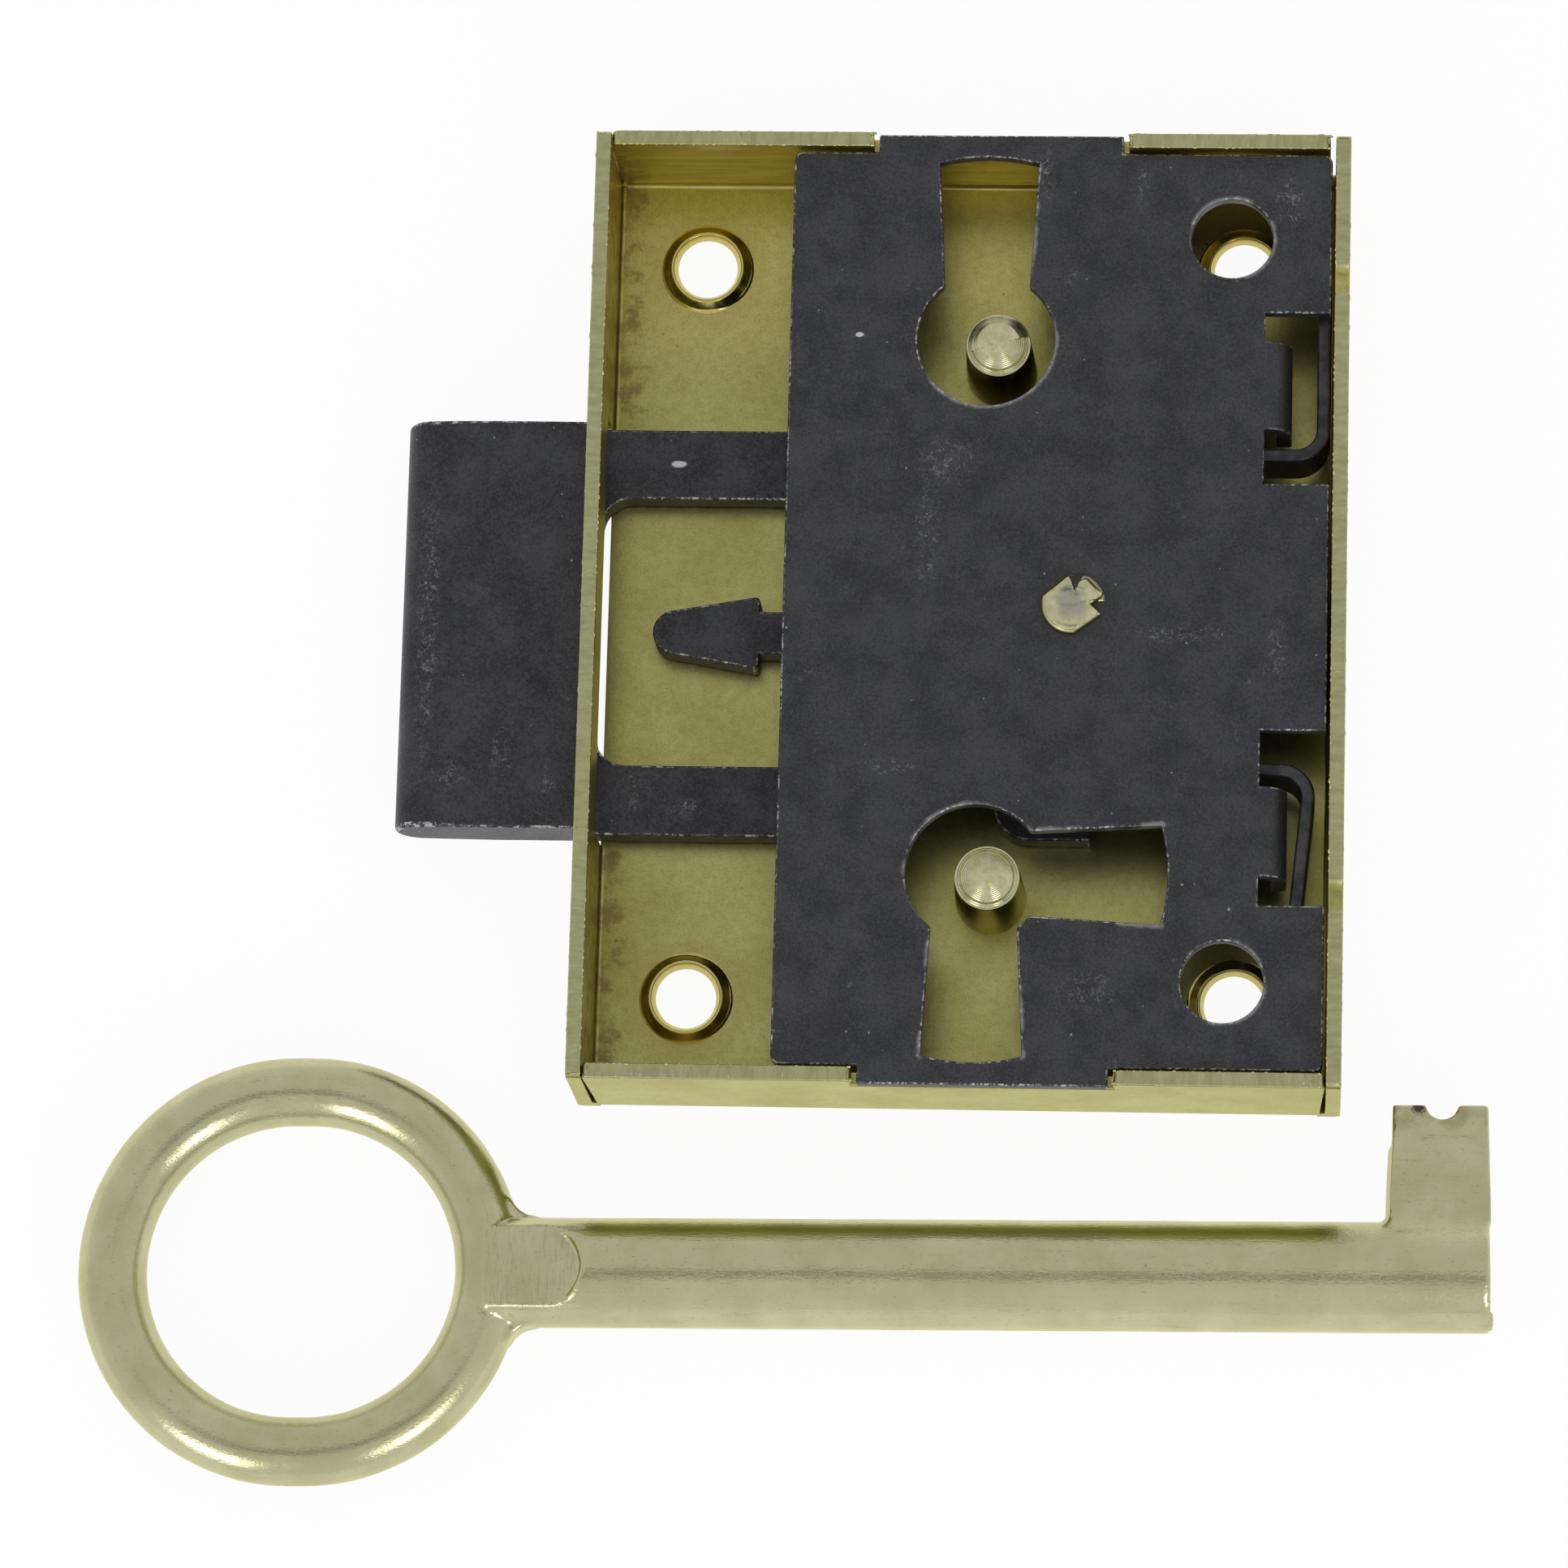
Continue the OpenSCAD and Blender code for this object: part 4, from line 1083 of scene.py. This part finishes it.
def strewn_tree(name, round_form):
    """Geometry nodes: small forms strewn along lines, each with its own size, and made one mesh."""
    tree = bpy.data.node_groups.new(name, "GeometryNodeTree")
    face = tree.interface
    face.new_socket("Geometry", in_out="INPUT", socket_type="NodeSocketGeometry")
    sizes = {}
    for label, kind in (
        ("Pitch", "NodeSocketFloat"), ("Form", "NodeSocketVector"), ("Jitter", "NodeSocketVector"),
        ("Least", "NodeSocketFloat"), ("Seed", "NodeSocketInt"), ("Material", "NodeSocketMaterial"),
    ):
        sizes[label] = face.new_socket(label, in_out="INPUT", socket_type=kind).identifier
    face.new_socket("Geometry", in_out="OUTPUT", socket_type="NodeSocketGeometry")
    given = add(tree, "NodeGroupInput").outputs
    line = add(tree, "GeometryNodeMeshToCurve", {"Mesh": given["Geometry"]}).outputs["Curve"]
    sockets = {"Curve": line, "Length": given["Pitch"]}
    spaced = add(tree, "GeometryNodeResampleCurve", sockets, mode="LENGTH")
    back = add(tree, "ShaderNodeVectorMath", {0: given["Jitter"]}, operation="SCALE")
    back.inputs["Scale"].default_value = -1.0
    stray = add(tree, "FunctionNodeRandomValue", {"Seed": given["Seed"]}, data_type="FLOAT_VECTOR")
    tree.links.new(back.outputs[0], stray.inputs[0])
    tree.links.new(given["Jitter"], stray.inputs[1])
    sockets = {"Geometry": spaced.outputs[0], "Offset": stray.outputs[0]}
    moved = add(tree, "GeometryNodeSetPosition", sockets)
    tangent = add(tree, "GeometryNodeInputTangent").outputs[0]
    aligned = add(tree, "FunctionNodeAlignRotationToVector", {"Vector": tangent}, axis="Y")
    if round_form:
        form = add(tree, "GeometryNodeMeshUVSphere", {"Segments": 8, "Rings": 5, "Radius": 1.0}).outputs[0]
    else:
        rod = add(tree, "GeometryNodeMeshCylinder", {"Vertices": 6, "Radius": 1.0, "Depth": 2.0})
        sockets = {"Geometry": rod.outputs[0], "Rotation": (0, math.pi / 2, 0)}
        form = add(tree, "GeometryNodeTransform", sockets).outputs[0]
    own_size = add(tree, "FunctionNodeRandomValue", {"Seed": given["Seed"]}, data_type="FLOAT")
    tree.links.new(given["Least"], own_size.inputs[2])
    own_size.inputs[3].default_value = 1.0
    scale = add(tree, "ShaderNodeVectorMath", {0: given["Form"]}, operation="SCALE")
    tree.links.new(own_size.outputs[1], scale.inputs["Scale"])
    placed = add(tree, "GeometryNodeInstanceOnPoints", {
        "Points": moved.outputs[0], "Instance": form,
        "Rotation": aligned.outputs[0], "Scale": scale.outputs[0],
    })
    whole = add(tree, "GeometryNodeRealizeInstances", {"Geometry": placed.outputs[0]})
    shaded = add(tree, "GeometryNodeSetShadeSmooth", {"Geometry": whole.outputs[0]})
    coated = add(tree, "GeometryNodeSetMaterial", {
        "Geometry": shaded.outputs[0], "Material": given["Material"],
    })
    add(tree, "NodeGroupOutput", {"Geometry": coated.outputs[0]})
    return tree, sizes


def strewn(obj, tree, sizes, **values):
    """Runs the tree on an object's lines and leaves a plain mesh."""
    modifier = obj.modifiers.new("strewn forms", "NODES")
    modifier.node_group = tree
    for label, value in values.items():
        modifier[sizes[label]] = value
    return apply_modifiers(obj)


def rim_scallops():
    """Rounded lumps along the rim's outer edge, where the sheet was torn off."""
    tree, sizes = strewn_tree("scallops", True)
    lumps = runs_object("rim_scallops", rim_runs(SCALLOP_IN), SCALLOP_DROP)
    strewn(lumps, tree, sizes, Pitch=SCALLOP_PITCH, Form=(SCALLOP_R, SCALLOP_R * 2.6, SCALLOP_R),
           Jitter=(0.03 * MM, 0.03 * MM, 0.01 * MM), Least=0.55, Seed=11, Material=BRASS_SHEET)
    return settle(lumps, BRASS_SHEET, "lock", "case_brass")


def rim_burrs():
    """Beads of bright burr along the rim's inner edge."""
    tree, sizes = strewn_tree("burr_beads", True)
    inner = SHEET_T - 0.06 * MM
    burrs = runs_object("rim_burrs", rim_runs(inner), BURR_DROP)
    strewn(burrs, tree, sizes, Pitch=BURR_PITCH, Form=(BURR_R, BURR_R * 1.9, BURR_R),
           Jitter=(0.03 * MM, 0.03 * MM, 0.02 * MM), Least=0.35, Seed=7, Material=BURR_BRASS)
    return settle(burrs, BURR_BRASS, "lock", "case_brass")


def rim_shear():
    """Ridges left across the rim by the shears."""
    tree, sizes = strewn_tree("shear_ridges", False)
    ridges = runs_object("rim_shear_marks", rim_runs(SHEET_T / 2), SHEAR_DROP)
    strewn(ridges, tree, sizes, Pitch=SHEAR_PITCH, Form=SHEAR_FORM,
           Jitter=(0.08 * MM, 0.09 * MM, 0.012 * MM), Least=0.3, Seed=3, Material=BRASS_SHEET)
    return settle(ridges, BRASS_SHEET, "lock", "case_brass")


# Stage, light and camera

def pale_floor():
    """White ground that takes the object's soft shadow."""
    bm = bmesh.new()
    bmesh.ops.create_grid(bm, x_segments=1, y_segments=1, size=3.0)
    floor = piece_from(bm, "pale_floor")
    floor.data.transform(Matrix.Translation((0, 0, CASE_LOW.z - 0.02 * MM)))
    material = bpy.data.materials.new("pale_floor")
    material.use_nodes = True
    tree = material.node_tree
    tree.nodes.remove(tree.nodes["Principled BSDF"])
    paper = add(tree, "ShaderNodeBsdfDiffuse", {"Color": (0.92, 0.92, 0.92, 1)})
    glow = add(tree, "ShaderNodeEmission", {"Color": (1, 1, 1, 1), "Strength": 1.0})
    rays = add(tree, "ShaderNodeLightPath").outputs
    seen = times(tree, rays["Is Camera Ray"], 0.95)
    mirrored = times(tree, rays["Is Glossy Ray"], 0.92)
    share = most(tree, seen, mirrored)
    mixed = add(tree, "ShaderNodeMixShader", {0: share, 1: paper.outputs[0], 2: glow.outputs[0]})
    tree.links.new(mixed.outputs[0], tree.nodes["Material Output"].inputs["Surface"])
    floor.data.materials.append(material)


def light_tent():
    """World light: a pale tent, whitest in front, with a dim gap where the camera stands."""
    world = bpy.data.worlds.new("light_tent")
    bpy.context.scene.world = world
    world.use_nodes = True
    tree = world.node_tree
    way = add(tree, "ShaderNodeTexCoord").outputs["Generated"]
    axes = axes_of(tree, way)
    front = between(tree, axes[1], 0.25, -0.75, 0.70, 0.75)
    sides = between(tree, axes[2], 0.7, 0.1, 0.0, 0.08)
    dome = plus(tree, front, sides)
    off_front = calc(tree, "ABSOLUTE", plus(tree, axes[1], 0.165))
    gap = times(tree, between(tree, off_front, 0.085, 0.04), between(tree, axes[2], 0.90, 0.96))
    dim = minus(tree, 1.0, times(tree, gap, 0.88))
    dome = times(tree, dome, dim)
    seen = add(tree, "ShaderNodeLightPath").outputs["Is Camera Ray"]
    level = add(tree, "ShaderNodeMix", {0: seen, 2: dome, 3: 1.0}).outputs[0]
    tree.links.new(level, tree.nodes["Background"].inputs["Strength"])
    tree.nodes["Background"].inputs["Color"].default_value = (1, 1, 1, 1)


def lamp(name, place):
    """A soft square lamp aimed at the lock."""
    light = bpy.data.lights.new(name, "AREA")
    light.shape = "SQUARE"
    light.size = LAMP_SIZE
    light.energy = LAMP_POWER
    obj = bpy.data.objects.new(name, light)
    obj.location = place
    obj.rotation_euler = (LAMP_AIM - Vector(place)).to_track_quat("-Z", "Y").to_euler()
    bpy.context.scene.collection.objects.link(obj)


def photo_camera():
    """The camera as it was fitted to the photo."""
    data = bpy.data.cameras.new("photo_camera")
    data.lens = CAMERA_LENS
    data.sensor_width = CAMERA_SENSOR
    data.sensor_fit = "HORIZONTAL"
    data.clip_start = 0.01
    data.clip_end = 20.0
    camera = bpy.data.objects.new("photo_camera", data)
    camera.location = CAMERA_AT
    camera.rotation_euler = [math.radians(a) for a in CAMERA_TURN]
    bpy.context.scene.collection.objects.link(camera)
    bpy.context.scene.camera = camera


photo_camera()
pale_floor()
light_tent()
lamp("left_lamp", (-0.307, -0.476, 0.250))
lamp("right_lamp", (0.256, -0.464, 0.315))
bpy.context.scene.view_settings.view_transform = "Standard"

folded_case()
rim_scallops()
rim_burrs()
rim_shear()
blued_cover()
blued_bolt()
spring_strip("upper_spring_strip", "upper_leaf_spring")
spring_strip("lower_spring_strip", "lower_leaf_spring")
turned_pin("upper_turned_pin", "upper_key_pin", True)
turned_pin("lower_turned_pin", "lower_key_pin", False)
staked_post()
cast_key()
